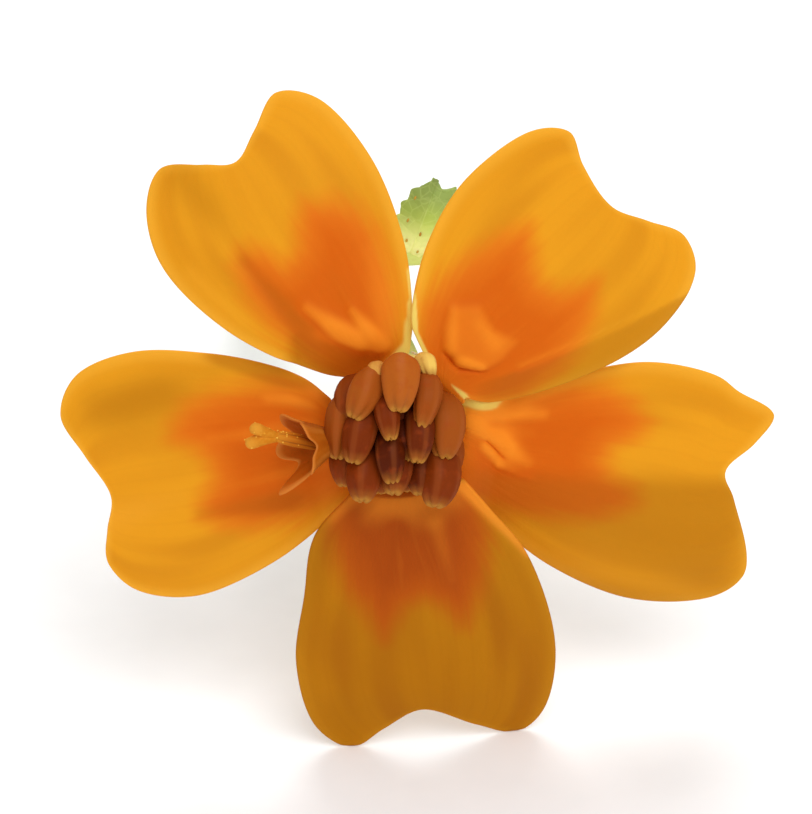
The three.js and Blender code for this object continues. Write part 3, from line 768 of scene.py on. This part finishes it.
# Disc florets: closed buds that stand crowded on a small dome and hang over a little to the left. Each has a
# shoulder, a tip, a radius, and a painted tone from dark (0) to yellow (1): painted shade on the crowded buds
# in the middle and lower down, painted light on the top and outer ones. Places are x, y and w on the head.
BUDS = [
    ((-0.42, 2.85, 2.9), (-0.62, 1.62, 3.5), 0.66, 0.62),
    ((0.6, 2.2, 2.6), (0.2, 0.9, 3.2), 0.48, 0.5),
    ((1.24, 1.15, 2.1), (1.05, -0.45, 2.7), 0.65, 0.52),
    ((-1.4, 2.44, 2.5), (-2.11, 1.29, 2.9), 0.6, 0.55),
    ((-2.23, 1.57, 1.8), (-2.6, -0.4, 2.1), 0.52, 0.5),
    ((-0.95, 1.73, 2.9), (-0.88, 0.63, 3.5), 0.46, 0.25),
    ((-0.2, 0.6, 2.4), (-0.3, -0.4, 2.8), 0.5, 0),
    ((-1.65, 1.13, 2.4), (-2.13, -0.36, 2.8), 0.6, 0.25),
    ((-0.83, 0.29, 2.7), (-0.85, -1.05, 3.2), 0.52, 0.05),
    ((0.22, 0.95, 2.7), (0.03, -0.32, 3.3), 0.52, 0.15),
    ((-1.59, -0.6, 2.2), (-1.85, -1.75, 2.9), 0.64, 0.28),
    ((-0.56, -0.5, 2.4), (-0.76, -1.52, 3.0), 0.6, 0.18),
    ((1.0, -0.8, 2.3), (0.66, -2.12, 2.9), 0.7, 0.34),
    ((1.35, -0.1, 1.8), (1.2, -1.4, 2.1), 0.5, 0.45),
    ((0.6, 2.9, 1.8), (0.7, 2.35, 2.4), 0.34, 1),
    ((-2.23, -0.22, 1.5), (-2.34, -1.5, 1.9), 0.5, 0.35),
    ((-2.0, 2.05, 1.7), (-2.3, 0.9, 2.3), 0.5, 0.4),
    ((-1.2, 2.8, 2.2), (-1.3, 2.25, 2.9), 0.32, 0.88),
    ((0.3, -0.7, 2.1), (0.2, -1.75, 2.6), 0.55, 0.12),
    ((-1.0, -0.85, 1.5), (-1.1, -1.9, 1.7), 0.5, 0.4),
    ((0.0, -0.95, 1.5), (-0.05, -1.9, 1.7), 0.5, 0.35),
]
BUD_FOOT_HEIGHT = 0.2
BUD_FOOT_SPREAD = 0.4
BUD_VALVES = 5
BUD_SIDES = 30
BUD_LENGTH = 4
BUD_STEPS = 16
BUD_PROFILE = [
    (0.38, 0), (0.4, 0.08), (0.42, 0.2), (0.56, 0.31), (0.76, 0.4), (0.9, 0.49), (0.98, 0.58),
    (1.0, 0.67), (0.97, 0.76), (0.88, 0.84), (0.74, 0.9), (0.58, 0.95), (0.42, 0.98), (0.25, 0.99),
    (0.08, 0.98),
]
# Seams between the valves: share of their full depth, and where along the bud they start and reach it.
VALVE_SWELL = 1.06
SEAM_DEPTH = 0.3
FLANK_SEAM = (0.3, 0.25, 0.6)
TIP_SEAM = (0.7, 0.72, 0.97)
VALVE_TIP_RISE = 0.12
VALVE_TIP_LEVEL = 0.6
VALVE_TIP_SPAN = (0.8, 0.95)
DOME_PROFILE = [(0.6, 0), (1.5, 0.08), (1.7, 0.5), (1.65, 1.3), (1.4, 2.2), (0.9, 2.8), (0.3, 3.1)]
DOME_HEIGHT = 3.1
DOME_SIDES = 32
DOME_AXIS = [(0, 0, -0.6), (-0.1, 0.35, 0.75), (-0.6, 0.85, 2.5)]
# The dome reads as the body of a bud with a low painted tone, painted dark as in shade.
DOME_READING = (0.6, 0.5, 0.2)


def modelled_bud():
    """A closed floret on +Z, 1 mm in radius, with five valves. Their seams cut in deeper towards the tip."""
    bud = turned("bud", BUD_PROFILE, BUD_SIDES, BUD_LENGTH)
    readings = []

    def place(x, y, z):
        t = z / BUD_LENGTH
        valve = abs(math.cos(BUD_VALVES / 2 * around(x, y)))
        depth = sum(share * smooth(t, start, full) for share, start, full in (FLANK_SEAM, TIP_SEAM))
        scale = VALVE_SWELL - SEAM_DEPTH * depth * (1 - valve) ** 2
        rise = VALVE_TIP_RISE * smooth(t, *VALVE_TIP_SPAN) * (valve - VALVE_TIP_LEVEL)
        readings.append((t, valve, 0))
        return Vector((x * scale, y * scale, z + rise))

    lay(bud, place)
    write_attribute(bud, "bud", readings)
    return bud


def disc_florets():
    bud = modelled_bud()
    florets = []
    for shoulder, tip, radius, painted_tone in BUDS:
        shoulder, tip = Vector(shoulder), Vector(tip)
        foot = Vector((shoulder.x * BUD_FOOT_SPREAD, shoulder.y * BUD_FOOT_SPREAD, BUD_FOOT_HEIGHT))
        path = Path([on_head(*point) for point in smooth_line([foot, shoulder, tip], BUD_STEPS)])
        floret = copy_of(bud)
        roll = draw.uniform(0, math.tau)
        floret.data.transform(Matrix.Rotation(roll, 4, "Z") @ Matrix.Diagonal((radius, radius, 1, 1)))
        bend_along(floret, path, BUD_LENGTH, ALONG_X)
        for reading in floret.data.attributes["bud"].data:
            reading.vector[2] = painted_tone
        florets.append(floret)
    bpy.data.objects.remove(bud)
    dome = turned("dome", DOME_PROFILE, DOME_SIDES)
    write_attribute(dome, "bud", [DOME_READING] * len(dome.data.vertices))
    bend_along(dome, head_arc(DOME_AXIS), DOME_HEIGHT, ALONG_X)
    return finish(join([*florets, dome], "disc_floret_buds"), bud_tissue)


# Bract tissue: smooth green cup wall, a little waxy, that turns pale yellow and thin towards the rim and its
# teeth. Fibres in the wall run lengthwise, 0.2 mm apart.
bract_tissue = tissue(
    "involucre_bract_tissue", ("cup", "depth", "rib"), "#93ab4c", [
        ("grain", 0.45, 0.7, 0.6, "#a9bd5c"),
        ("rib", 0.3, 1, 0.6, "#bccb6c"),
        ("rib", -0.4, -1, 0.7, "#7c963c"),
        ("depth", 2.6, 5.0, 0.85, "#dcd46c"),
        ("depth", 5.5, 10.2, 1, "#8fa84a"),
        ("depth", 2.4, 0.2, 1, "#f4e070"),
        ("depth", 0.05, -0.4, 1, "#f8ea8e"),
    ],
    stretch=(5000, 350, 5000), detail=2, roughness=0.5, specular=0.12, depth=0.05, through=0.3,
)

# Oil gland: a clear blister of amber oil under the skin, so it is glossy and darker than the wall. Its colour
# drifts over about 1 mm.
amber_oil = mottled("amber_oil_gland", "#b07a24", "#c9a53c", 900, 1, {
    "Roughness": 0.25, "IOR": 1.47, "Specular IOR Level": 0.35, "Coat Weight": 0.1, "Coat Roughness": 0.2,
})


# Involucre: the green cup of fused bracts, with one tooth between each two rays. It narrows to the stalk and
# bends a little to the right.
RIM_HEIGHT = -0.15
RECESS_RADIUS = 2.35
RECESS_DEPTH = 0.95
RECESS_WALL = [
    (RECESS_RADIUS + 0.03, 0.02), (RECESS_RADIUS, 0.4), (RECESS_RADIUS, RECESS_DEPTH),
    (0.3, RECESS_DEPTH),
]
BELOW_RECESS = 1
CUP_DEPTH = 10.5
# Radius and depth, from the foot up to the rim.
CUP_WALL = [
    (0.78, 10.5), (0.85, 10.1), (0.9, 9.7), (0.98, 8.9), (1.08, 8), (1.17, 7), (1.25, 6), (1.35, 5.1),
    (1.46, 4.4), (1.6, 3.6), (1.75, 3), (1.92, 2.3), (2.05, 1.7), (2.2, 1.15), (2.35, 0.6),
    (2.47, 0.25), (2.53, 0),
]
CUP_BEND = 0.28
CUP_BEND_DEPTH = 6
CUP_SIDES = 90
RIM_WIDTH = 0.05
RIB_COUNT = 5
RIB_RELIEF = 0.05
RIB_START_SPAN = (0.6, 2)
RIB_END_SPAN = (8, 10)
# Teeth: half their width and their turns are in degrees round the head, from +X.
TOOTH_HEIGHT = 0.5
TOOTH_HALF_WIDTH = 13
TOOTH_POWER = 0.8
TOOTH_FOOT = 0.3
TOOTH_TURNS = [84, 158, 233, 311, 17]


def cup_lean(depth):
    return CUP_BEND * (max(0, depth) / CUP_BEND_DEPTH) ** 2


def rib_at(angle):
    return math.cos(RIB_COUNT * (angle - math.radians(TOOTH_TURNS[0])))


def ribbed(angle, depth):
    """The wall's radius there, as a share of a plain wall's."""
    swell = smooth(depth, *RIB_START_SPAN) * (1 - smooth(depth, *RIB_END_SPAN))
    return 1 + RIB_RELIEF * swell * rib_at(angle)


def cup_point(angle, depth):
    """A point on the outside of the cup's wall."""
    radius = stepped(sorted((d, r) for r, d in CUP_WALL), depth) * ribbed(angle, depth)
    return on_head(radius * math.cos(angle) + cup_lean(depth), radius * math.sin(angle), RIM_HEIGHT - depth)


def involucre():
    profile = [(radius, -depth) for radius, depth in [*CUP_WALL, *RECESS_WALL]]
    cup = turned("involucre_cup", profile, CUP_SIDES)
    readings = []

    def place(x, y, z):
        depth, angle, radius = -z, around(x, y), math.hypot(x, y)
        away = min(abs((math.degrees(angle) - turn + 180) % 360 - 180) for turn in TOOTH_TURNS)
        tooth = TOOTH_HEIGHT * max(0, 1 - away / TOOTH_HALF_WIDTH) ** TOOTH_POWER
        tooth *= 1 - smooth(depth, 0, TOOTH_FOOT)
        outside = radius > RECESS_RADIUS + RIM_WIDTH or depth > BELOW_RECESS
        scale = ribbed(angle, depth) if radius > RECESS_RADIUS or depth > BELOW_RECESS else 1
        readings.append((depth - tooth, rib_at(angle) if outside else 0, 0))
        return on_head(x * scale + cup_lean(depth), y * scale, RIM_HEIGHT - depth + tooth)

    lay(cup, place)
    write_attribute(cup, "cup", readings)
    return finish(cup, bract_tissue)


def set_out(original, placings, name):
    """Copies of one modelled piece, each laid with its own matrix, joined as one piece."""
    parts = []
    for placing in placings:
        part = copy_of(original)
        part.data.transform(placing)
        parts.append(part)
    bpy.data.objects.remove(original)
    return join(parts, name)


def on_surface(at, normal, run, size):
    """Lays a piece on a surface at a point in mm: x along run, z along normal, with its size in mm."""
    z = normal.normalized()
    y = z.cross(run).normalized()
    x = y.cross(z)
    axes = Matrix((x, y, z)).transposed().to_4x4()
    return Matrix.Translation(at * MM) @ axes @ Matrix.Diagonal((*size, 1))


def modelled_gland():
    """A ball 1 mm in radius with 48 faces, to be laid flatter and smaller, half sunk into the skin."""
    gland = primitive("gland", bpy.ops.mesh.primitive_uv_sphere_add, segments=8, ring_count=6, radius=MM)
    bpy.ops.object.shade_smooth()
    return gland


# Glands of the cup: depths below the rim, and degrees to each side of the middle of a bract.
GLAND_DEPTHS = (1.3, 2.3)
GLAND_TURNS = (14, 20)
GLAND_SHIFTS = (-0.35, 0.35)
GLAND_LENGTHS = (0.3, 0.55)
GLAND_WIDTH = 0.13
GLAND_HEIGHT = 0.06
GLAND_RUN = 0.1


def cup_glands():
    """Two files of drawn-out glands on each bract. Their lengths and widths are half sizes."""
    placings = []
    for bract in range(RIB_COUNT):
        middle = TOOTH_TURNS[0] + 360 * bract / RIB_COUNT
        for side in (-1, 1):
            for depth in GLAND_DEPTHS:
                angle = math.radians(middle + side * draw.uniform(*GLAND_TURNS))
                depth += draw.uniform(*GLAND_SHIFTS)
                run = cup_point(angle, depth + GLAND_RUN) - cup_point(angle, depth - GLAND_RUN)
                out = FACE_UP * math.sin(angle) + ALONG_X * math.cos(angle)
                size = (draw.uniform(*GLAND_LENGTHS), GLAND_WIDTH, GLAND_HEIGHT)
                placings.append(on_surface(cup_point(angle, depth), out, run, size))
    glands = set_out(modelled_gland(), placings, "involucre_oil_glands")
    glands.data.materials.append(amber_oil)
    return glands


# Open disc floret that leans out over the left ray: a funnel with five lobes, an anther column and two style
# arms. Its skin has grains about 0.15 mm wide.
def floret_tissue(name, ground, layers, through, roughness):
    return tissue(
        name, ("floret", "along", "ridge", "inner"), ground, layers, stretch=(6500, 6500, 6500), detail=2,
        roughness=roughness, specular=0.08, depth=0.04, through=through,
    )


# Corolla tissue: the same thin skin as a bud, but orange and lit through. Painted highlights run along the
# keels of its lobes, and painted shade lies between them and over the inside of the funnel.
open_corolla = floret_tissue("open_corolla_tissue", "#cb6e18", [
    ("grain", 0.5, 0.75, 0.4, "#bd5e10"),
    ("ridge", 0.45, 1.0, 0.6, "#e08a30"),
    ("ridge", -0.3, -1.0, 0.6, "#b8590c"),
    ("inner", 0.3, 0.9, 0.85, "#bd5808"),
    ("along", 0.9, 1.02, 0.75, "#ea933e"),
], 0.3, 0.5)

# Anthers: five dry brown-orange cases, fused to a tube, dusted with pollen.
anther_tube = floret_tissue("anther_tube", "#c06a14", [
    ("ridge", 0.2, 1.0, 0.6, "#c67820"),
    ("ridge", -0.4, -1.0, 0.7, "#7d3d10"),
    ("along", 0.6, 1.0, 0.7, "#d98c28"),
], 0.1, 0.65)

# Style arms: soft, covered in small wet papillae, so they look matt and golden.
style_tissue = floret_tissue("style_arm_tissue", "#d8841c", [
    ("grain", 0.4, 0.7, 0.6, "#e69c30"),
    ("along", 0.5, 1.0, 0.7, "#e8a238"),
], 0.2, 0.7)

# Pollen: rough dry yellow grains with an oily coat that makes the colour strong. Grains differ a little.
pollen_yellow = mottled("pollen", "#e29a24", "#f0bb48", 5000, 1, {
    "Roughness": 0.75, "Specular IOR Level": 0.2,
})


FUNNEL_AXIS = [(-2.1, 0.05, 1.15), (-2.75, 0.1, 1.45), (-4.0, 0.03, 2.0)]
FUNNEL_LENGTH = 2
FUNNEL_SIDES = 60
FUNNEL_OUTSIDE = [
    (0.3, 0), (0.31, 0.1), (0.35, 0.22), (0.45, 0.34), (0.57, 0.46), (0.7, 0.58), (0.81, 0.7),
    (0.91, 0.8), (1.01, 0.9), (1.1, 0.97),
]
FUNNEL_INSIDE = [
    (1.06, 1.0), (0.93, 0.95), (0.8, 0.85), (0.68, 0.75), (0.54, 0.65), (0.33, 0.58), (0.1, 0.55),
]
LOBE_COUNT = 5
LOBE_START = 0.66
LOBE_RELIEF = 0.36
LOBE_WAVE = 0.6
LOBE_FLARE = 0.1
LOBE_REACH = 0.12
NOTCH_DEPTH = 0.2
LOW_LOBE_RELIEF = 0.17
LOW_LOBE_REACH = 0.72
COLUMN_AXIS = [(-3.1, 0.0, 1.75), (-3.95, 0.38, 2.0), (-4.8, 0.62, 2.2)]
COLUMN_LENGTH = 1.7
COLUMN_SIDES = 20
COLUMN_PROFILE = [
    (0.1, 0), (0.19, 0.04), (0.22, 0.3), (0.25, 0.55), (0.24, 0.75), (0.19, 0.9), (0.1, 0.98),
]
ANTHER_COUNT = 5
ANTHER_RELIEF = 0.1
STYLE_FOOT = Vector((-4.5, 0.52, 2.1))
STYLE_BEND = Vector((-5.2, 0.72, 2.3))
STYLE_TIP = Vector((-5.66, 0.76, 2.4))
STYLE_SPREAD = 0.34
STYLE_OFFSET = 0.1
STYLE_SIDES = 14
STYLE_PROFILE = [(0.1, 0), (0.15, 0.05), (0.18, 0.3), (0.22, 0.6), (0.24, 0.85), (0.17, 0.96), (0.06, 1)]


def style_line(way):
    """The line of the lower (-1) or the upper (+1) style arm."""
    bend = STYLE_BEND + Vector((0, way * STYLE_SPREAD / 4, 0))
    return head_arc((STYLE_FOOT, bend, STYLE_TIP + Vector((way * STYLE_OFFSET, way * STYLE_SPREAD, 0))))


def funnel():
    piece = turned("funnel", [*FUNNEL_OUTSIDE, *FUNNEL_INSIDE], FUNNEL_SIDES, FUNNEL_LENGTH)
    outside = FUNNEL_SIDES * len(FUNNEL_OUTSIDE)
    readings = []

    def place(x, y, z):
        """Five lobes spread at the mouth. The one that hangs down is the longest."""
        t, angle = z / FUNNEL_LENGTH, around(x, y)
        lobe = -math.cos(LOBE_COUNT * angle)
        spread = smooth(t, LOBE_START, 1)
        low = max(0, -math.cos(angle)) ** 3 * max(0, lobe)
        scale = 1 + spread * (LOBE_RELIEF * (LOBE_WAVE * lobe + LOBE_FLARE) + LOW_LOBE_RELIEF * low)
        reach = NOTCH_DEPTH * min(0, lobe) + LOBE_REACH * lobe + LOW_LOBE_REACH * low
        readings.append((t, lobe, 1 if len(readings) >= outside else 0))
        return Vector((x * scale, y * scale, z + spread * reach))

    lay(piece, place)
    write_attribute(piece, "floret", readings)
    bend_along(piece, head_arc(FUNNEL_AXIS), FUNNEL_LENGTH, FACE_UP)
    return finish(piece, open_corolla)


def anther_column():
    piece = turned("column", COLUMN_PROFILE, COLUMN_SIDES, COLUMN_LENGTH)
    readings = []

    def fluted(x, y, z):
        ridge = math.cos(ANTHER_COUNT * around(x, y))
        readings.append((z / COLUMN_LENGTH, ridge, 0))
        scale = 1 + ANTHER_RELIEF * ridge
        return Vector((x * scale, y * scale, z))

    lay(piece, fluted)
    write_attribute(piece, "floret", readings)
    bend_along(piece, head_arc(COLUMN_AXIS), COLUMN_LENGTH, FACE_UP)
    return finish(piece, anther_tube)


def style_arms():
    arms = []
    for way in (-1, 1):
        arm = turned("arm", STYLE_PROFILE, STYLE_SIDES)
        write_attribute(arm, "floret", [(v.co.z / MM, 0, 0) for v in arm.data.vertices])
        bend_along(arm, style_line(way), 1, FACE_OUT)
        arms.append(arm)
    return finish(join(arms, "style_arms"), style_tissue)


# Where grains lie: a line, a direction across it, how far out from it, how many, and on which part of it.
POLLEN = [
    (head_arc(COLUMN_AXIS), FACE_UP, 0.215, 24, (0.45, 0.98)),
    (style_line(-1), FACE_OUT, 0.2, 14, (0.3, 0.95)),
    (style_line(1), FACE_OUT, 0.2, 14, (0.3, 0.95)),
]
GRAIN_RADII = (0.03, 0.042)


def pollen():
    """Grains on the anther tube and the style arms, drawn 0.07 mm wide, about twice their real size."""
    grain = primitive("grain", bpy.ops.mesh.primitive_ico_sphere_add, subdivisions=1, radius=MM)
    bpy.ops.object.shade_smooth()
    placings = []
    for line, reference, radius, count, span in POLLEN:
        for _ in range(count):
            at, run = line.share(draw.uniform(*span))
            angle = draw.uniform(0, math.tau)
            side = run.cross(reference).normalized()
            out = side * math.cos(angle) + side.cross(run) * math.sin(angle)
            size = draw.uniform(*GRAIN_RADII)
            placings.append(on_surface(at + out * radius, out, run, (size, size, size)))
    grains = set_out(grain, placings, "pollen_grains")
    grains.data.materials.append(pollen_yellow)
    return grains


# Stem tissue: green skin with fine lengthwise ribs, a little waxy, and a pale wet cut end. Its lighter and
# browner patches are about 0.7 mm long.
stem_tissue = tissue(
    "stem_skin", ("stem", "length", "rib", "cut"), "#7f9a42", [
        ("grain", 0.4, 0.7, 1, "#90a84e"),
        ("rib", 0.2, 1, 0.7, "#a9bb62"),
        ("rib", -0.3, -1, 0.5, "#6b8636"),
        ("grain", 0.62, 0.78, 0.5, "#98794a"),
        ("cut", 0.5, 0.9, 1, "#c6cf8c"),
        ("cut", 1.4, 1.9, 1, "#e3e3b4"),
    ],
    stretch=(14, 2.5, 0), follows=True, detail=3, roughness=0.48, specular=0.3, depth=0.05, through=0.05,
)


# Flower stalk: from the foot of the involucre, which it grows into, down to its cut end on the surface.
STALK_PATH = [(0.2, 14.5, 10.3), (-1.8, 22, 8.0), (-1.5, 32, 4.1), (-0.8, 44, 0.35)]
STALK_STEPS = 24
STALK_TOP_RADIUS = 0.74
STALK_RADIUS = 0.56
STALK_SIDES = 48
STALK_RIBS = 12
STALK_RIB_RELIEF = 0.035
STALK_OVERLAP = 0.4
STALK_PROFILE = [
    (STALK_TOP_RADIUS, 0), (STALK_TOP_RADIUS, 0.02), (0.7, 0.05), (0.63, 0.1), (STALK_RADIUS, 0.22),
    *((STALK_RADIUS, 0.22 + 0.026 * k) for k in range(1, 30)),
    (STALK_RADIUS, 0.9985), (STALK_RADIUS * 0.97, 1), (STALK_RADIUS * 0.72, 1),
    (STALK_RADIUS * 0.6, 0.9975), (0.05, 0.997),
]
# The cut end: what lies beyond this share of the length or inside this radius.
CUT_LEVEL = 0.9995
CUT_RADIUS = 0.9 * STALK_RADIUS
CUT_READING = 2.6
CENTIMETRE = 10


def flower_stalk():
    depth = CUP_DEPTH - STALK_OVERLAP
    top = on_head(cup_lean(depth), 0, RIM_HEIGHT - depth)
    path = Path(smooth_line([top, *(BLOOM + Vector(p) for p in STALK_PATH)], STALK_STEPS))
    length = path.lengths[-1]
    piece = turned("flower_stalk", STALK_PROFILE, STALK_SIDES, length)
    readings = []

    def place(x, y, z):
        radius = math.hypot(x, y)
        on_cut = z > CUT_LEVEL * length or radius < CUT_RADIUS
        rib = 0 if on_cut else math.cos(STALK_RIBS * around(x, y))
        readings.append((z / CENTIMETRE, rib, CUT_READING - radius / STALK_RADIUS if on_cut else 0))
        scale = 1 + STALK_RIB_RELIEF * rib
        return Vector((x * scale, y * scale, z))

    lay(piece, place)
    write_attribute(piece, "stem", readings)
    bend_along(piece, path, length, ALONG_X)
    finish(piece, stem_tissue)
    # What would pass below the surface is cut off flat.
    bpy.ops.object.mode_set(mode="EDIT")
    bpy.ops.mesh.select_all(action="SELECT")
    bpy.ops.mesh.bisect(
        plane_co=(0, 0, 0), plane_no=ALONG_Z, use_fill=True, clear_inner=True, threshold=MM / 1000,
    )
    bpy.ops.object.mode_set(mode="OBJECT")
    return piece


# Leaf tissue: thin green blade, satin above, with light coming through it. Its colour drifts over about
# 1.5 mm, and its net of small paler veins has meshes about 0.4 mm wide.
leaf_tissue = tissue(
    "leaflet_tissue", ("leaf", "along", "side", "vein"), "#d6e27c", [
        ("grain", 0.4, 0.65, 1, "#dde67e"),
        ("along", 0.4, 0.85, 1, "#b8c87c"),
        # Painted shade darkens one half of each leaflet, and the pale foot below is partly painted light.
        ("side", 0.3, -0.5, 0.35, "#97a356"),
        ("along", 0.6, 0.1, 1, "#fffcc4"),
        ("net", 0.09, 0.02, 0.25, "#e6efa6"),
        ("vein", 0.4, 0.95, 0.5, "#ecf2b0"),
    ],
    stretch=(700, 700, 700), detail=2, roughness=0.5, specular=0.25, depth=0.05, through=0.6, net=2600,
)


# Upper leaf: a midrib that runs out to the right of the stalk, with toothed leaflets above and below it.
LEAF_PATH = [
    (-1.45, 19.9, 8.9), (-0.9, 20.25, 9.3), (1.2, 21.3, 9.4), (3.4, 22.0, 9.0), (6.2, 23.0, 8.5),
    (8.8, 24.2, 7.4),
]
LEAF_STEPS = 24
LEAF_FACING = Vector((0, -0.95, 0.3))
MIDRIB_PROFILE = [
    (0.3, 0), (0.34, 0.02), (0.34, 0.2), (0.33, 0.4), (0.32, 0.6), (0.29, 0.8), (0.26, 0.94),
    (0.18, 0.985), (0.06, 1),
]
MIDRIB_SIDES = 16
MIDRIB_READING = (0.38, 0, 0.7)
# at: share along the midrib. reach: from foot to tip. cleft: depth of the cleft that splits a tip in two.
# foot_tone: how green a blade is at its foot, from pale (0) to as green as its tip (1). The pale foot is
# partly the blade's own and partly painted light: the leaflet seen between the rays is painted palest, as if
# lit through from behind.
LEAFLETS = [
    dict(at=0.2, reach=(-0.6, 0.3, 3.6), width=1.5, foot_tone=0.5),
    dict(at=0.46, reach=(1.25, 0.3, 3.25), width=2.1, cleft=0.15, foot_tone=0),
    dict(at=0.8, reach=(2.2, 0.3, 3.4), width=1.7, foot_tone=0.45),
    dict(at=0.28, reach=(0.3, 0.3, -3.4), width=1.4, foot_tone=0.5),
    dict(at=0.68, reach=(1.6, 0.3, -3.4), width=1.6, foot_tone=0.45),
    dict(at=0.97, reach=(3.4, 1.6, -1.6), width=1.9, foot_tone=0.4),
]
# Half width of a leaflet with its teeth, at shares of its length, as a share of half its full width.
LEAFLET_HALVES = [
    (0, 0.22), (0.12, 0.5), (0.26, 0.92), (0.3, 0.78), (0.44, 1.06), (0.48, 0.88), (0.62, 1.02),
    (0.66, 0.8), (0.8, 0.82), (0.84, 0.58), (1, 0.1),
]
LEAFLET_ACROSS = 24
LEAFLET_ALONG = 75
LEAFLET_ARCH = 0.12
LEAFLET_THICKNESS = 0.24
CLEFT_SPREAD = 4.5
CLEFT_START = 0.75
MIDVEIN_DEPTH = 0.1
MIDVEIN_WIDTH = 0.1
MIDVEIN_COLOUR_WIDTH = 0.09
SIDE_VEIN_COUNT = 7
SIDE_VEIN_SLANT = 0.16
SIDE_VEIN_WIDTH = 0.1
SIDE_VEIN_DEPTH = 0.03
SIDE_VEIN_COLOUR = 0.7
SIDE_VEIN_SPAN = (0.1, 0.92)
LEAF_GLANDS = 5
LEAF_GLAND_SIDES = (-0.75, 0.75)
LEAF_GLAND_PLACES = (0.12, 0.85)
LEAF_GLAND_SIZE = (0.1, 0.06, 0.03)
LEAF_GLAND_SINK = 0.01


def leaf_pieces():
    path = Path(smooth_line([BLOOM + Vector(p) for p in LEAF_PATH], LEAF_STEPS))
    length = path.lengths[-1]
    midrib = turned("midrib", MIDRIB_PROFILE, MIDRIB_SIDES, length)
    write_attribute(midrib, "leaf", [MIDRIB_READING] * len(midrib.data.vertices))
    bend_along(midrib, path, length, ALONG_Z)
    round_off(midrib)
    parts, placings = [midrib], []
    for leaflet in LEAFLETS:
        foot = path.share(leaflet["at"])[0]
        reach = Vector(leaflet["reach"])
        across = reach.cross(LEAF_FACING).normalized()
        face = across.cross(reach).normalized()
        readings = []

        def surface(side, t):
            cleft = leaflet.get("cleft", 0) * max(0, side) * smooth(t, CLEFT_START, 1)
            half = (stepped(LEAFLET_HALVES, t) + CLEFT_SPREAD * cleft) * leaflet["width"] / 2
            arch = LEAFLET_ARCH * leaflet["width"] * (1 - side * side) * math.sin(math.pi * t)
            groove = MIDVEIN_DEPTH * bell(side, MIDVEIN_WIDTH)
            along = t - cleft * math.sin(math.pi * side)
            return foot + reach * along + across * (side * half) + face * (arch - groove)

        def place(s, t):
            side = 2 * s - 1
            first, last = SIDE_VEIN_SPAN
            slanted = (t - SIDE_VEIN_SLANT * abs(side)) * SIDE_VEIN_COUNT
            vein = bell(slanted - round(slanted), SIDE_VEIN_WIDTH) * (first < abs(side) < last)
            readings.append((
                mix(leaflet["foot_tone"], 1, t), side,
                max(bell(side, MIDVEIN_COLOUR_WIDTH), SIDE_VEIN_COLOUR * vein),
            ))
            return surface(side, t) - face * SIDE_VEIN_DEPTH * vein

        blade = sheet("leaflet", LEAFLET_ACROSS, LEAFLET_ALONG, place)
        write_attribute(blade, "leaf", readings)
        apply_modifier(blade, "SOLIDIFY", thickness=LEAFLET_THICKNESS * MM, offset=0)
        round_off(blade)
        parts.append(blade)
        for _ in range(LEAF_GLANDS):
            side, t = draw.uniform(*LEAF_GLAND_SIDES), draw.uniform(*LEAF_GLAND_PLACES)
            for way in (-1, 1):
                at = surface(side, t) + face * way * (LEAFLET_THICKNESS / 2 - LEAF_GLAND_SINK)
                placings.append(on_surface(at, face * way, reach, LEAF_GLAND_SIZE))
    leaf = join(parts, "upper_leaf_blades")
    leaf.data.materials.append(leaf_tissue)
    glands = set_out(modelled_gland(), placings, "leaf_oil_glands")
    glands.data.materials.append(amber_oil)
    return leaf, glands


def settle(piece, node=None):
    """The piece rides on the object's one body, and stands for its CAD node if it has one."""
    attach(piece, "root")
    if node:
        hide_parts(node)


# The bottom ray wears the copy of the upper face with painted shade.
for name, ray in RAYS.items():
    if name == "ray_floret_bottom":
        settle(ray_floret(name, ray, shaded_ray), name)
    else:
        settle(ray_floret(name, ray, lit_ray), name)
settle(disc_florets(), "disc_florets")
settle(involucre(), "involucre")
settle(cup_glands())
settle(funnel(), "open_disc_floret")
settle(anther_column())
settle(style_arms())
settle(pollen())
settle(flower_stalk(), "stalk")
leaf, leaf_glands = leaf_pieces()
settle(leaf, "upper_leaf")
settle(leaf_glands)


# Stage: a plain pale floor under soft light. The floor is matt white card, as under a product lamp: no gloss
# and hardly any grain.
FLOOR_SIZE = 6
WORLD_LIGHT = 0.62
LAMP_DISTANCE = 420
LAMP_SIZE = 260
# Name, turn and height as seen from the head, in degrees, and power in watts.
LAMPS = [
    ("key_soft_box", 8, 50, 0.95),
    ("back_soft_box", 170, 48, 0.8),
]

floor = primitive("floor", bpy.ops.mesh.primitive_plane_add, size=FLOOR_SIZE)
floor.data.materials.append(mottled("matt_white_card", "#f6f6f6", "#f8f8f8", 400, 2, {
    "Roughness": 0.9, "Specular IOR Level": 0.1,
}))

world = bpy.data.worlds.new("studio")
world.use_nodes = True
background = world.node_tree.nodes["Background"]
background.inputs["Color"].default_value = linear("#ffffff")
background.inputs["Strength"].default_value = WORLD_LIGHT
bpy.context.scene.world = world

for name, turn, height, power in LAMPS:
    way = direction(turn, height)
    bpy.ops.object.light_add(
        type="AREA", location=(HEAD + way * LAMP_DISTANCE) * MM,
        rotation=way.to_track_quat("Z", "Y").to_euler(),
    )
    lamp = bpy.context.object
    lamp.name = lamp.data.name = name
    lamp.data.shape = "SQUARE"
    lamp.data.size = LAMP_SIZE * MM
    lamp.data.energy = power
    lamp.visible_camera = False

bpy.context.scene.view_settings.view_transform = "Standard"
